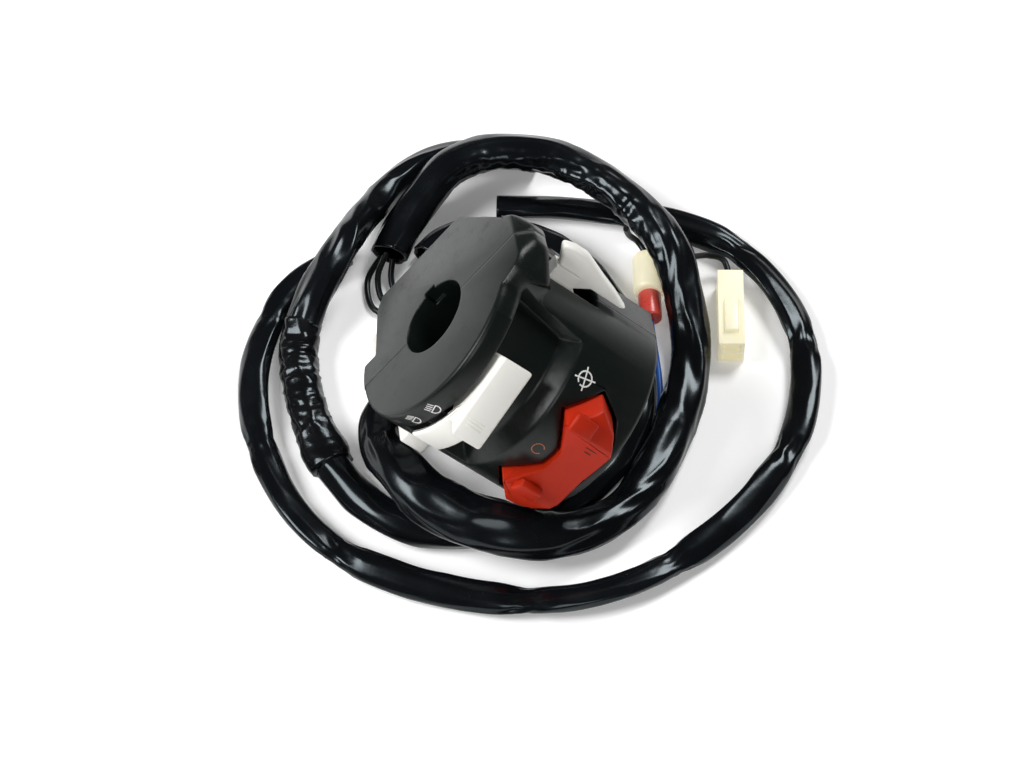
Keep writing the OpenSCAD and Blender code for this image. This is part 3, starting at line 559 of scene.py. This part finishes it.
outlet_points = [on_switch(*(OUTLET + OUTLET_WAY * u)) for u in (-1, 5, GROMMET_LENGTH)]
main_line = even_line(outlet_points + laid(main_route, MAIN_WIDTH), RING_STEP)
inner_line = even_line(laid(inner_route, INNER_WIDTH), RING_STEP)
tape_line = even_line(laid(tape_route, INNER_WIDTH), RING_STEP)
tail_line = even_line(laid(tail_route, INNER_WIDTH), RING_STEP)
outer_line = even_line(laid(outer_route, OUTER_WIDTH), RING_STEP)
lines = {"main": main_line, "inner": inner_line, "tape": tape_line, "tail": tail_line, "outer": outer_line}
for name, line in lines.items():
    print(name, "line in mm:", round(line_length(line) / MM))

# %% [markdown]
# ## Crumpled sleeves
# A sleeve is a ring of points carried along its line. Each ring is an oval: flat where the sleeve lies
# empty, turned where it twists, pinched where it kinks. Cloth simulation could crumple it too, but it
# would not put the folds where the real ones are. Noise along and round the sleeve adds the folds, and a
# ring that would sink into the table is lifted onto it.

# %% Folds
GIRTH_SCALE = 1.3
RIDGE_DEPTH = 2.6


def bell(x, middle, width):
    return math.exp(-(((x - middle) / width) ** 2))


def wander(along, run, seed):
    """Slow smooth noise along a sleeve, from about -1 to 1."""
    return noise.noise(Vector((along / run, seed, 0)))


def fold(along, angle, seed, run):
    """Ridged noise, from about -1 to 1, that follows a sleeve's length and girth."""
    x = math.cos(angle) * GIRTH_SCALE + seed
    y = math.sin(angle) * GIRTH_SCALE - seed
    return 1 - RIDGE_DEPTH * abs(noise.noise(Vector((along / run, x, y))))


# %% Sleeve maker
SIDES = 48
SLEEVE_WALL = 0.7
HOLLOW_RINGS = 9
HOLLOW_STEP = 3
TABLE_GAP = 0.05


def ring_frame(line, i):
    ahead = (line[min(i + 1, len(line) - 1)] - line[max(i - 1, 0)]).normalized()
    side = ahead.cross(Vector((0, 0, 1))).normalized()
    return side, side.cross(ahead).normalized()


def sleeve_ring(line, i, distance, inset, shape):
    side, up = ring_frame(line, i)
    ring = []
    for k in range(SIDES):
        angle = 2 * math.pi * k / SIDES
        wide, high, turn, ripple = shape(distance, angle)
        x = (wide + ripple - inset) * math.cos(angle)
        y = (high + ripple - inset) * math.sin(angle)
        across = x * math.cos(turn) - y * math.sin(turn)
        above = x * math.sin(turn) + y * math.cos(turn)
        ring.append(line[i] + (side * across + up * above) * MM)
    sunk = TABLE + (TABLE_GAP + inset) * MM - min(p.z for p in ring)
    lift = Vector((0, 0, max(0, sunk)))
    return [p + lift for p in ring]


def sleeve_mesh(name, line, shape, open_ends=(False, False)):
    """shape(mm along, angle) gives half width, half height, turn and ripple in millimetres."""
    rings = []
    along = 0.0
    for i, middle in enumerate(line):
        if i:
            along += (middle - line[i - 1]).length / MM
        rings.append((i, along, 0.0))
    end = len(line) - 1
    if open_ends[1]:
        inwards = range(0, HOLLOW_RINGS + 1, HOLLOW_STEP)
        rings += [(end - k, rings[end - k][1], SLEEVE_WALL) for k in inwards]
    if open_ends[0]:
        outwards = range(HOLLOW_RINGS, -1, -HOLLOW_STEP)
        rings = [(k, rings[k][1], SLEEVE_WALL) for k in outwards] + rings
    points = []
    for i, distance, inset in rings:
        points += sleeve_ring(line, i, distance, inset, shape)
    faces = [
        (r * SIDES + k, r * SIDES + (k + 1) % SIDES, (r + 1) * SIDES + (k + 1) % SIDES, (r + 1) * SIDES + k)
        for r in range(len(rings) - 1)
        for k in range(SIDES)
    ]
    last = (len(rings) - 1) * SIDES
    faces.append(tuple(range(SIDES - 1, -1, -1)))
    faces.append(tuple(last + k for k in range(SIDES)))
    mesh = bpy.data.meshes.new(name)
    mesh.from_pydata([tuple(p) for p in points], [], faces)
    mesh.shade_smooth()
    print(name, "faces:", len(faces))
    return new_object(name, mesh)


# %% [markdown]
# ### Main sleeve
# The main sleeve leaves the rear half through the grommet, sweeps round the front with fat twisted
# folds, and rises over the other loops at the back, where its inner side is finely crumpled. One shape
# with a bell-shaped share for the front and one for the back arc gives all three without a seam.

# %% Main sleeve
MAIN_HALF = MAIN_WIDTH / 2
GROMMET_HOLD = 16
FRONT_MIDDLE = 78
FRONT_REACH = 36
BACK_MIDDLE = 245
BACK_REACH = 45


def main_shape(along, angle):
    """Round in the grommet, then flat or twisted by noise. Amounts are in millimetres, turns in radians."""
    free = 1 - bell(along, 0, GROMMET_HOLD)
    flat = 0.5 + 0.5 * wander(along, run=38, seed=3.1)
    front = bell(along, FRONT_MIDDLE, FRONT_REACH)
    back = bell(along, BACK_MIDDLE, BACK_REACH)
    inner_side = max(0, math.cos(angle - math.pi))
    wide = MAIN_HALF + free * (0.7 * flat + 1.6 * front)
    high = MAIN_HALF - free * (1.2 * flat - 0.4 * front)
    turn = free * (1.3 * wander(along, run=45, seed=7.7) - 0.35 * front)
    ripple = free * (0.4 + 0.3 * front) * fold(along, angle, seed=2.0, run=24)
    ripple += free * 0.22 * fold(along + 4 * math.sin(angle), angle, seed=6.0, run=13)
    ripple += back * 0.5 * fold(along, angle, seed=5.0, run=4) * inner_side
    return wide, high, turn, ripple


main_sleeve = sleeve_mesh("main_harness_sleeve", main_line, main_shape, open_ends=(False, True))

# %% [markdown]
# ### Inner sleeve, tail and outer sleeve
# The inner sleeve runs behind the body and under its front; black tape joins it to its tail on the
# left, and the tail climbs over the start of the outer loop. The outer sleeve is nearly empty, so it lies
# flat and kinks at intervals. At each kink it is pinched, and its flat side turns over the other way.

# %% Inner sleeve, tail and outer sleeve
INNER_HALF = INNER_WIDTH / 2
OUTER_HALF = OUTER_WIDTH / 2
KINKS = [30, 74, 118, 170, 214, 262, 300, 338, 372]
KINK_REACH = 5
KINK_TURN = 0.75
KINK_EASE = 4
OUTER_LEAN = 0.35


def inner_shape(along, angle):
    flat = 0.5 + 0.5 * wander(along, run=30, seed=12.4)
    turn = 0.9 * wander(along, run=45, seed=1.3)
    ripple = 0.35 * fold(along, angle, seed=9.0, run=18)
    return INNER_HALF + 0.6 * flat, INNER_HALF - 1.0 * flat, turn, ripple


def tail_shape(along, angle):
    flat = 0.6 + 0.4 * wander(along, run=25, seed=22.4)
    turn = 0.6 + 0.9 * wander(along, run=40, seed=31.3)
    ripple = 0.5 * fold(along, angle, seed=14.0, run=16)
    return INNER_HALF + 1.1 * flat, INNER_HALF - 1.2 * flat, turn, ripple


def outer_shape(along, angle):
    kink = max(bell(along, k, KINK_REACH) for k in KINKS)
    slack = 1 - bell(along, 0, 10)
    turn = 0.0
    for i, k in enumerate(KINKS):
        turn += (KINK_TURN if i % 2 else -KINK_TURN) / (1 + math.exp(-(along - k) / KINK_EASE))
    wide = OUTER_HALF + slack * (0.5 - 0.9 * kink)
    high = OUTER_HALF - slack * (1.5 + 0.7 * kink)
    ripple = slack * 0.22 * fold(along, angle, seed=20.0, run=20)
    ripple += 0.3 * kink * fold(along, angle, seed=25.0, run=5)
    return wide, high, turn + OUTER_LEAN, ripple


inner_sleeve = sleeve_mesh("inner_harness_sleeve", inner_line, inner_shape, open_ends=(True, False))
tail_sleeve = sleeve_mesh("inner_sleeve_tail_end", tail_line, tail_shape, open_ends=(False, True))
outer_sleeve = sleeve_mesh("outer_harness_sleeve", outer_line, outer_shape, open_ends=(False, True))

# %% [markdown]
# ### Tape over the joint
# Black tape is wound over the joint in laps, with a small step at the edge of each, and its lower end has
# come loose and lies wide and flat. A separate strip could be wound round as a helix, but the same ring
# maker with a saw-tooth height gives the laps, and no gap opens between them.

# %% Tape over the joint
TAPE_PITCH = 7.5
TAPE_HALF_WIDTH = 5.15
TAPE_HALF_HEIGHT = 4.7
LOOSE_END = 5
LOOSE_REACH = 6


def tape_shape(along, angle):
    lap = (along / TAPE_PITCH + angle / (2 * math.pi)) % 1
    pleat = fold(along * 1.5 + 3 * math.sin(angle), angle, seed=40.0, run=5)
    loose = bell(along, LOOSE_END, LOOSE_REACH)
    ripple = (0.35 * lap + 0.4 * pleat) * (1 - 0.7 * loose)
    return TAPE_HALF_WIDTH + 1.5 * loose, TAPE_HALF_HEIGHT - 0.6 * loose, 0.0, ripple


tape = sleeve_mesh("joint_tape", tape_line, tape_shape)
for piece in (main_sleeve, inner_sleeve, tail_sleeve, outer_sleeve):
    give(piece, sleeve_vinyl)
give(tape, tape_vinyl)

# %% [markdown]
# ## Bare wires
# At a gap in the harness three thin wires are bare, and short leads run to the connectors and to the flat
# terminal. A thin wire has no folds, so a curve with a round profile is enough. It stays a curve, because
# its length can then be measured along it.

# %% Bare wires
WIRE_WIDTH = 1.8
WIRE_STEP = 0.5 * MM
WIRE_ROUNDNESS = 4
wire_routes = {
    "splice_wire_black": [
        (-45, 55.4, 6), (-46.5, 49, 3), (-44, 43, 0), (-38, 43, 0), (-35, 49.5, 2.5), (-33.7, 56.6, 5.4),
    ],
    "splice_wire_red": [
        (-46.8, 55.6, 3.5), (-49.5, 48.5, 0.5), (-46, 39.5, 0), (-37.5, 39, 0), (-32, 46, 0.5),
        (-32.2, 55.7, 2.8),
    ],
    "splice_wire_green": [
        (-43.3, 55.2, 3.5), (-43, 50.5, 1.5), (-41.5, 47, 0), (-39.5, 47, 0), (-37.5, 51, 1),
        (-35.2, 57.4, 2.8),
    ],
    "connector_lead": [(42.2, 64.8, 10.5), (46, 68.5, 7), (50.5, 69.5, 4.5), (53, 64.4, 3.6)],
    "bullet_lead": [(22.1, 69.5, 13.4), (22.9, 70.6, 9), (25.5, 71.5, 5), (28.9, 67.8, 3.7)],
    "earth_lead": [(32.85, 45.6, 3.7), (35, 38.5, 1.5), (37.5, 30, 0), (39, 22, 0), (39.2, 16.2, 0)],
}
wire_finishes = {"splice_wire_red": wire_red, "splice_wire_green": wire_green, "earth_lead": wire_blue}
wires = {}
wire_lines = {}
for name, route in wire_routes.items():
    line = even_line(laid(route, WIRE_WIDTH), WIRE_STEP)
    curve = bpy.data.curves.new(name + "_wire", "CURVE")
    curve.dimensions = "3D"
    curve.bevel_depth = WIRE_WIDTH / 2 * MM
    curve.bevel_resolution = WIRE_ROUNDNESS
    curve.use_fill_caps = True
    spline = curve.splines.new("POLY")
    spline.points.add(len(line) - 1)
    for point, place in zip(spline.points, line):
        point.co = (*place, 1)
    curve.materials.append(wire_finishes.get(name, wire_black))
    wires[name] = new_object(name + "_wire", curve)
    wire_lines[name] = line
    print(name, "mm:", round(line_length(line) / MM))
give(nodes["inner_leads"], wire_blue)

# %% [markdown]
# ## What each soft piece stands for
# The CAD model has a plain tube for each sleeve and wire.

# %% What each soft piece stands for
for piece, node in [
    (main_sleeve, "main_sleeve"), (inner_sleeve, "inner_sleeve"), (tail_sleeve, "inner_sleeve_tail"),
    (outer_sleeve, "outer_sleeve"), (tape, "tape_wrap"),
]:
    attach(piece, "housing")
    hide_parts(node)
    print(piece.name, "replaces", node)
for name, wire in wires.items():
    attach(wire, "housing")
    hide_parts(name)
    print(wire.name, "replaces", name)

# %% [markdown]
# ## Round the moulded pieces
# A mould never leaves a knife edge. Each visible moulding is a copy of its CAD solid: doubled points are
# merged, flat facets dissolved, and then only the sharp outer edges are given a bevel. Edges inside stay
# sharp, because nobody sees them and the pieces must still fit each other.

# %% Rounded copies
DOUBLED = 0.002 * MM
FLAT_ANGLE = math.radians(0.5)
SMOOTH_ANGLE = math.radians(35)


def only(piece):
    bpy.ops.object.select_all(action="DESELECT")
    piece.select_set(True)
    bpy.context.view_layer.objects.active = piece


def rounded_copy(node, name, width, chosen=None, sharp=28, segments=3, shortest=0.3):
    """A copy of a CAD node with a bevel on its sharp edges; chosen(point) picks them by their place."""
    piece = new_object(name, nodes[node].data.copy())
    only(piece)
    bpy.ops.mesh.customdata_custom_splitnormals_clear()
    bpy.ops.object.mode_set(mode="EDIT")
    bpy.ops.mesh.select_all(action="SELECT")
    bpy.ops.mesh.remove_doubles(threshold=DOUBLED)
    bpy.ops.mesh.dissolve_limited(angle_limit=FLAT_ANGLE)
    bpy.ops.object.mode_set(mode="OBJECT")
    shape = bmesh.new()
    shape.from_mesh(piece.data)
    weight = shape.edges.layers.float.new("bevel_weight_edge")
    for edge in shape.edges:
        middle = SWITCH_BACK @ ((edge.verts[0].co + edge.verts[1].co) / 2)
        is_sharp = len(edge.link_faces) == 2 and edge.calc_face_angle() > math.radians(sharp)
        if is_sharp and edge.calc_length() > shortest * MM and (chosen is None or chosen(middle)):
            edge[weight] = 1.0
    shape.to_mesh(piece.data)
    shape.free()
    bevel = piece.modifiers.new("round_edges", "BEVEL")
    bevel.limit_method = "WEIGHT"
    bevel.use_clamp_overlap = False
    bevel.width = width * MM
    bevel.segments = segments
    bpy.ops.object.modifier_apply(modifier=bevel.name)
    bpy.ops.object.shade_smooth_by_angle(angle=SMOOTH_ANGLE)
    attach(piece, nodes[node]["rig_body"])
    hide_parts(node)
    print(name, "faces:", len(piece.data.polygons))
    return piece


# %% [markdown]
# ### The two housing halves
# The halves are one smooth drum with a swollen lip beside the turn lever. A wide bevel could round the
# lip's facets, but it tears the mesh there, so the bevel stays small and the lip's faces have a second
# finish, whose Bevel node shades them much rounder.

# %% Housing halves
DRUM_RADIUS = 30
SKIN_DEPTH = 6
END_MARGIN = 0.1
SPLIT_MARGIN = 0.05
BORE_MARGIN = 12
LIP_FROM = 21
LIP_TOP = 0.3
LIP_DEPTH = 13.5


def outside(point):
    """True on the housing's outer skin, away from the split plane and the bar's hole."""
    reach = math.hypot(point.x, point.y)
    at_end = point.z < END_MARGIN or point.z > BODY_LENGTH - END_MARGIN
    skin = reach > DRUM_RADIUS - SKIN_DEPTH or at_end
    return skin and abs(point.y) > SPLIT_MARGIN and reach > BORE_MARGIN


front_housing = rounded_copy("front_housing", "front_half_moulding", width=0.6, chosen=outside, shortest=1)
rear_housing = rounded_copy("rear_housing", "rear_half_moulding", width=0.8, chosen=outside, shortest=1)
for piece in (front_housing, rear_housing):
    give(piece, housing_black)
    piece.data.materials.append(housing_lip)
    for face in piece.data.polygons:
        middle = SWITCH_BACK @ face.center
        face.material_index = int(middle.x > LIP_FROM and LIP_TOP < middle.z < LIP_DEPTH)

# %% [markdown]
# ### Knobs and buttons
# A thumb works five mouldings: the headlight slider, the engine stop rocker, the turn lever, the horn
# button and the passing button. Only what stands out of the housing is rounded, so each has a limit
# that tells its outer part from its foot.

# %% Knobs and buttons
STOP_PIVOT = Vector((-2, 25.5, 0))
PIVOT_BOSS = 5
SLIDER_FOOT = 26
ROCKER_FOOT = 24
LEVER_FOOT = 33.5
HORN_FOOT = -28
PASSING_FOOT = -24


def slider_top(point):
    return math.hypot(point.x, point.y) > SLIDER_FOOT


def rocker_top(point):
    return point.y > ROCKER_FOOT and abs(point.x - STOP_PIVOT.x) > PIVOT_BOSS


slider = rounded_copy("light_knob", "headlight_slider_moulding", 0.9, slider_top)
rocker = rounded_copy("stop_rocker", "engine_stop_moulding", 0.5, rocker_top)
lever = rounded_copy("turn_lever", "turn_lever_moulding", 0.9, lambda p: p.x > LEVER_FOOT)
horn = rounded_copy("horn_button", "horn_button_moulding", 0.8, lambda p: p.x < HORN_FOOT)
passing = rounded_copy("pass_button", "passing_button_moulding", 1.0, lambda p: p.x < PASSING_FOOT)
for piece in (slider, lever, horn, passing):
    give(piece, switch_white)
give(rocker, stop_red)

# %% [markdown]
# ## Finger pads and ribs
# The rocker has a raised pad near each tip, and the slider three thin ribs, so that a gloved thumb finds
# them. Each is a cube, scaled, bevelled and turned into its place on the switch.

# %% Bevelled blocks


def block(name, size, width, place):
    """A bevelled block with its size in millimetres, set by a matrix in the switch's own frame."""
    bpy.ops.object.select_all(action="DESELECT")
    bpy.ops.mesh.primitive_cube_add(size=1)
    piece = bpy.context.object
    piece.name = name
    piece.scale = size
    bpy.ops.object.transform_apply(scale=True)
    bevel = piece.modifiers.new("round_edges", "BEVEL")
    bevel.width = width
    bevel.segments = 3
    bpy.ops.object.modifier_apply(modifier=bevel.name)
    bpy.ops.object.shade_smooth_by_angle(angle=SMOOTH_ANGLE)
    piece.data.transform(SWITCH @ place)
    print(name, "size in mm:", size)
    return piece


# %% Pads and lines on the rocker
STOP_REST = 5
PAD_SLOPE = 24
PAD_SIZE = (5.4, 2.6, 7.4)
LINE_PLACE = Vector((9.6, 32.0, 44.2))
LINE_PITCH = 1.4
LINE_SECTION = (0.35, 0.25)
LINE_LENGTHS = (3.2, 2.0)
rocked = Matrix.Translation(STOP_PIVOT) @ turned(STOP_REST, "Z") @ Matrix.Translation(-STOP_PIVOT)
pads = []
for name, x, y, z, slope in [
    ("stop_pad", 14.6, 31.9, 37.0, -PAD_SLOPE), ("run_pad", -10.6, 33.0, 39.3, PAD_SLOPE),
]:
    spot = Matrix.Translation((STOP_PIVOT.x + x, y, z))
    pads.append(block(name, PAD_SIZE, 0.8, rocked @ spot @ turned(slope, "Z")))
for k, length in enumerate(LINE_LENGTHS):
    spot = Matrix.Translation((STOP_PIVOT.x + LINE_PLACE.x - LINE_PITCH * k, LINE_PLACE.y, LINE_PLACE.z))
    pads.append(block(f"stop_line_{k}", (*LINE_SECTION, length), 0.08, rocked @ spot))
for pad in pads:
    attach(pad, "engine_stop_rocker")
    give(pad, sign_dark if "line" in pad.name else stop_red)

# %% Ribs on the slider
SLIDER_PAD = 71
SLIDER_TOP = DRUM_RADIUS + 1.9
RIB_COUNT = 3
RIB_SIZE = (0.3, 0.35, 5)
RIB_START = 13.5
RIB_MIDDLE = 12.5
for k in range(RIB_COUNT):
    spot = turned(SLIDER_PAD, "Z") @ Matrix.Translation((SLIDER_TOP, RIB_START + k, RIB_MIDDLE))
    rib = block(f"slider_rib_{k}", RIB_SIZE, 0.1, spot)
    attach(rib, "headlight_slider")
    give(rib, switch_white)

# %% [markdown]
# ## Signs
# Printed signs tell the rider what a knob does: high and low beam beside the slider, and stop and run
# beside the rocker. They could be painted by the housing's finish, but thin geometry keeps a sharp edge
# from near by. Each is a few strokes. A stroke is a chain of short flat strips wrapped round the drum, and
# a Solidify modifier makes them a thin closed film of ink, a hair above the drum.

# %% Sign maker
SIGN_LIFT = 0.04
STRIP_LENGTH = 0.4


def on_drum(radius, degrees, z):
    angle = math.radians(degrees)
    return on_switch(radius * math.cos(angle), radius * math.sin(angle), z)


def finely(stroke):
    """The stroke's straight runs, cut short enough to follow the drum."""
    for a, b in zip(stroke, stroke[1:]):
        a, b = Vector(a), Vector(b)
        count = max(1, math.ceil((b - a).length / STRIP_LENGTH))
        for k in range(count):
            yield a.lerp(b, k / count), a.lerp(b, (k + 1) / count)


def sign(name, degrees, z, strokes, width, material, spin=0.0):
    """Strokes are point lists in millimetres: first towards smaller angles, then towards the end face."""
    corners = []
    faces = []
    turn = Matrix.Rotation(math.radians(spin), 2)
    for stroke in strokes:
        for a, b in finely(stroke):
            a, b = turn @ a, turn @ b
            along = (b - a).normalized() * width / 2
            across = Vector((-along.y, along.x))
            for u, v in (a - along - across, b + along - across, b + along + across, a - along + across):
                angle = degrees - math.degrees(u / DRUM_RADIUS)
                corners.append(on_drum(DRUM_RADIUS + SIGN_LIFT, angle, z - v))
            faces.append(tuple(range(len(corners) - 4, len(corners))))
    mesh = bpy.data.meshes.new(name)
    mesh.from_pydata([tuple(p) for p in corners], [], faces)
    piece = new_object(name, mesh)
    only(piece)
    bpy.ops.object.mode_set(mode="EDIT")
    bpy.ops.mesh.select_all(action="SELECT")
    bpy.ops.mesh.normals_make_consistent(inside=False)
    bpy.ops.object.mode_set(mode="OBJECT")
    film = piece.modifiers.new("ink_film", "SOLIDIFY")
    film.thickness = SIGN_LIFT / 2 * MM
    bpy.ops.object.modifier_apply(modifier=film.name)
    give(piece, material)
    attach(piece, "housing")
    print(name, "strips:", len(faces))


# %% Signs
BEAM_SPIN = -70
BEAM_Z = 3.6
BEAM_STROKE = 0.34


def arc(radius, first, last, middle=(0, 0), steps=18):
    angles = [math.radians(first + (last - first) * k / steps) for k in range(steps + 1)]
    return [(middle[0] + radius * math.cos(a), middle[1] + radius * math.sin(a)) for a in angles]


bowl = [arc(1.5, -90, 90, middle=(0.4, 0)) + [(0.0, 1.5), (0.0, -1.5), (0.4, -1.5)]]
high_rays = [[(-0.6, h), (-2.0, h)] for h in (-1.2, -0.4, 0.4, 1.2)]
low_rays = [[(-0.6, h), (-1.9, h - 0.6)] for h in (-0.8, 0.0, 0.8, 1.4)]
bars = [[(-1.8, 0), (1.8, 0)], [(-1.4, 0.7), (1.4, 0.7)]]
cross = [[(-2.2, -2.2), (2.2, 2.2)], [(-2.2, 2.2), (2.2, -2.2)]]
sign("high_beam_sign", 107, BEAM_Z, bowl + high_rays, BEAM_STROKE, sign_white, spin=BEAM_SPIN)
sign("low_beam_sign", 123, BEAM_Z, bowl + low_rays, BEAM_STROKE, sign_white, spin=BEAM_SPIN)
sign("dimmer_off_sign", degrees=137, z=3.4, strokes=bars, width=0.3, material=sign_grey)
sign("stop_sign", 50, 33.2, [arc(2.1, -160, 170)] + cross, width=0.42, material=sign_white, spin=-35)
sign("run_sign", degrees=94, z=34, strokes=[arc(1.7, -60, 230)], width=0.32, material=sign_amber)

# %% [markdown]
# ## Connectors
# A three-way connector and a bullet connector with a red barrel hang on the main sleeve. They are small
# mouldings too, so the same rounding serves, with a width that suits the thickness of each.

# %% Rounded connectors
connector = rounded_copy("connector_housing", "connector_moulding", width=0.35)
bullet_cover = rounded_copy("bullet_sleeve", "bullet_connector_cover", width=1.2)
barrel = rounded_copy("bullet_barrel", "bullet_connector_barrel", width=0.8)
for piece in (connector, bullet_cover):
    give(piece, milky_nylon)
give(barrel, red_vinyl)

# %% [markdown]
# ## Table
# The switch lies on a white table. Stronger lamps would whiten the table and bleach the knobs with it.
# The lamps stay at a plain level instead, and the table has a faint glow that only the camera, glossy
# reflections and rays through clear plastic see. Dull surfaces get no light from it, and the table keeps
# the shadows.

# %% Table
TABLE_SIZE = 6
TABLE_DROP = 0.02 * MM
bpy.ops.object.select_all(action="DESELECT")
bpy.ops.mesh.primitive_plane_add(size=TABLE_SIZE, location=(0, 0, TABLE - TABLE_DROP))
floor = bpy.context.object
floor.name = "table_top"
table_white = Finish("table_white")


def seen_by(kind):
    return table_white.node("ShaderNodeLightPath", out=f"Is {kind} Ray")


table_white.surface(
    Base_Color=(0.93, 0.93, 0.93, 1),
    Roughness=0.8,
    Specular_IOR_Level=0.1,
    Emission_Color=table_white.mix(
        seen_by("Camera") + seen_by("Glossy") + seen_by("Transmission"), (0, 0, 0), (1, 1, 1)
    ),
    Emission_Strength=0.16,
)
give(floor, table_white.material)
floor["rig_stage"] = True

# %% [markdown]
# ## Light
# The photograph was taken in soft light from above. Three round lamps stand for it: one behind on the
# right, one on the left, and a weak one in front that keeps the near sides from going black. A pale room
# fills the rest. Large lamps give soft shadows, and each points at the middle of the table.

# %% Lamps and room
ROOM_LEVEL = 0.06


def soft_lamp(name, place, size, power):
    data = bpy.data.lights.new(name, "AREA")
    data.shape = "DISK"
    data.size = size
    data.energy = power
    lamp = new_object(name, data)
    lamp.location = place
    lamp.rotation_euler = Vector(place).to_track_quat("Z", "Y").to_euler()
    print(name, "watts:", power, "metres across:", size)


soft_lamp("back_window", place=(0.45, 0.9, 1.2), size=0.6, power=16)
soft_lamp("left_window", place=(-0.8, -0.3, 0.82), size=0.6, power=15)
soft_lamp("front_window", place=(0.35, -1.0, 1.0), size=0.7, power=6)

world = bpy.data.worlds.new("pale_room")
bpy.context.scene.world = world
world.use_nodes = True
room = world.node_tree.nodes["Background"]
room.inputs["Color"].default_value = (1, 1, 1, 1)
room.inputs["Strength"].default_value = ROOM_LEVEL
bpy.context.scene.view_settings.view_transform = "Standard"

# %% [markdown]
# ## Cords
# The length of each free sleeve and wire is taken along its line, and the ends of three of them are
# printed.

line_length(main_line)
line_length(inner_line)
line_length(tail_line)
line_length(outer_line)
for name in ("splice_wire_black", "splice_wire_red"):
    line = wire_lines[name]
    line_length(line)
earth_line = wire_lines["earth_lead"]
line_length(earth_line)
print("cord ends at, in mm:", in_mm([main_line[-1], outer_line[-1], earth_line[-1]]))

# %% [markdown]
# ## Measure and finish
# The dressed model must stay in the CAD model's box, so its box is printed here, as the CAD model's box was
# at the start.

# %% Finish
print("visual box in mm:", in_mm(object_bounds()))
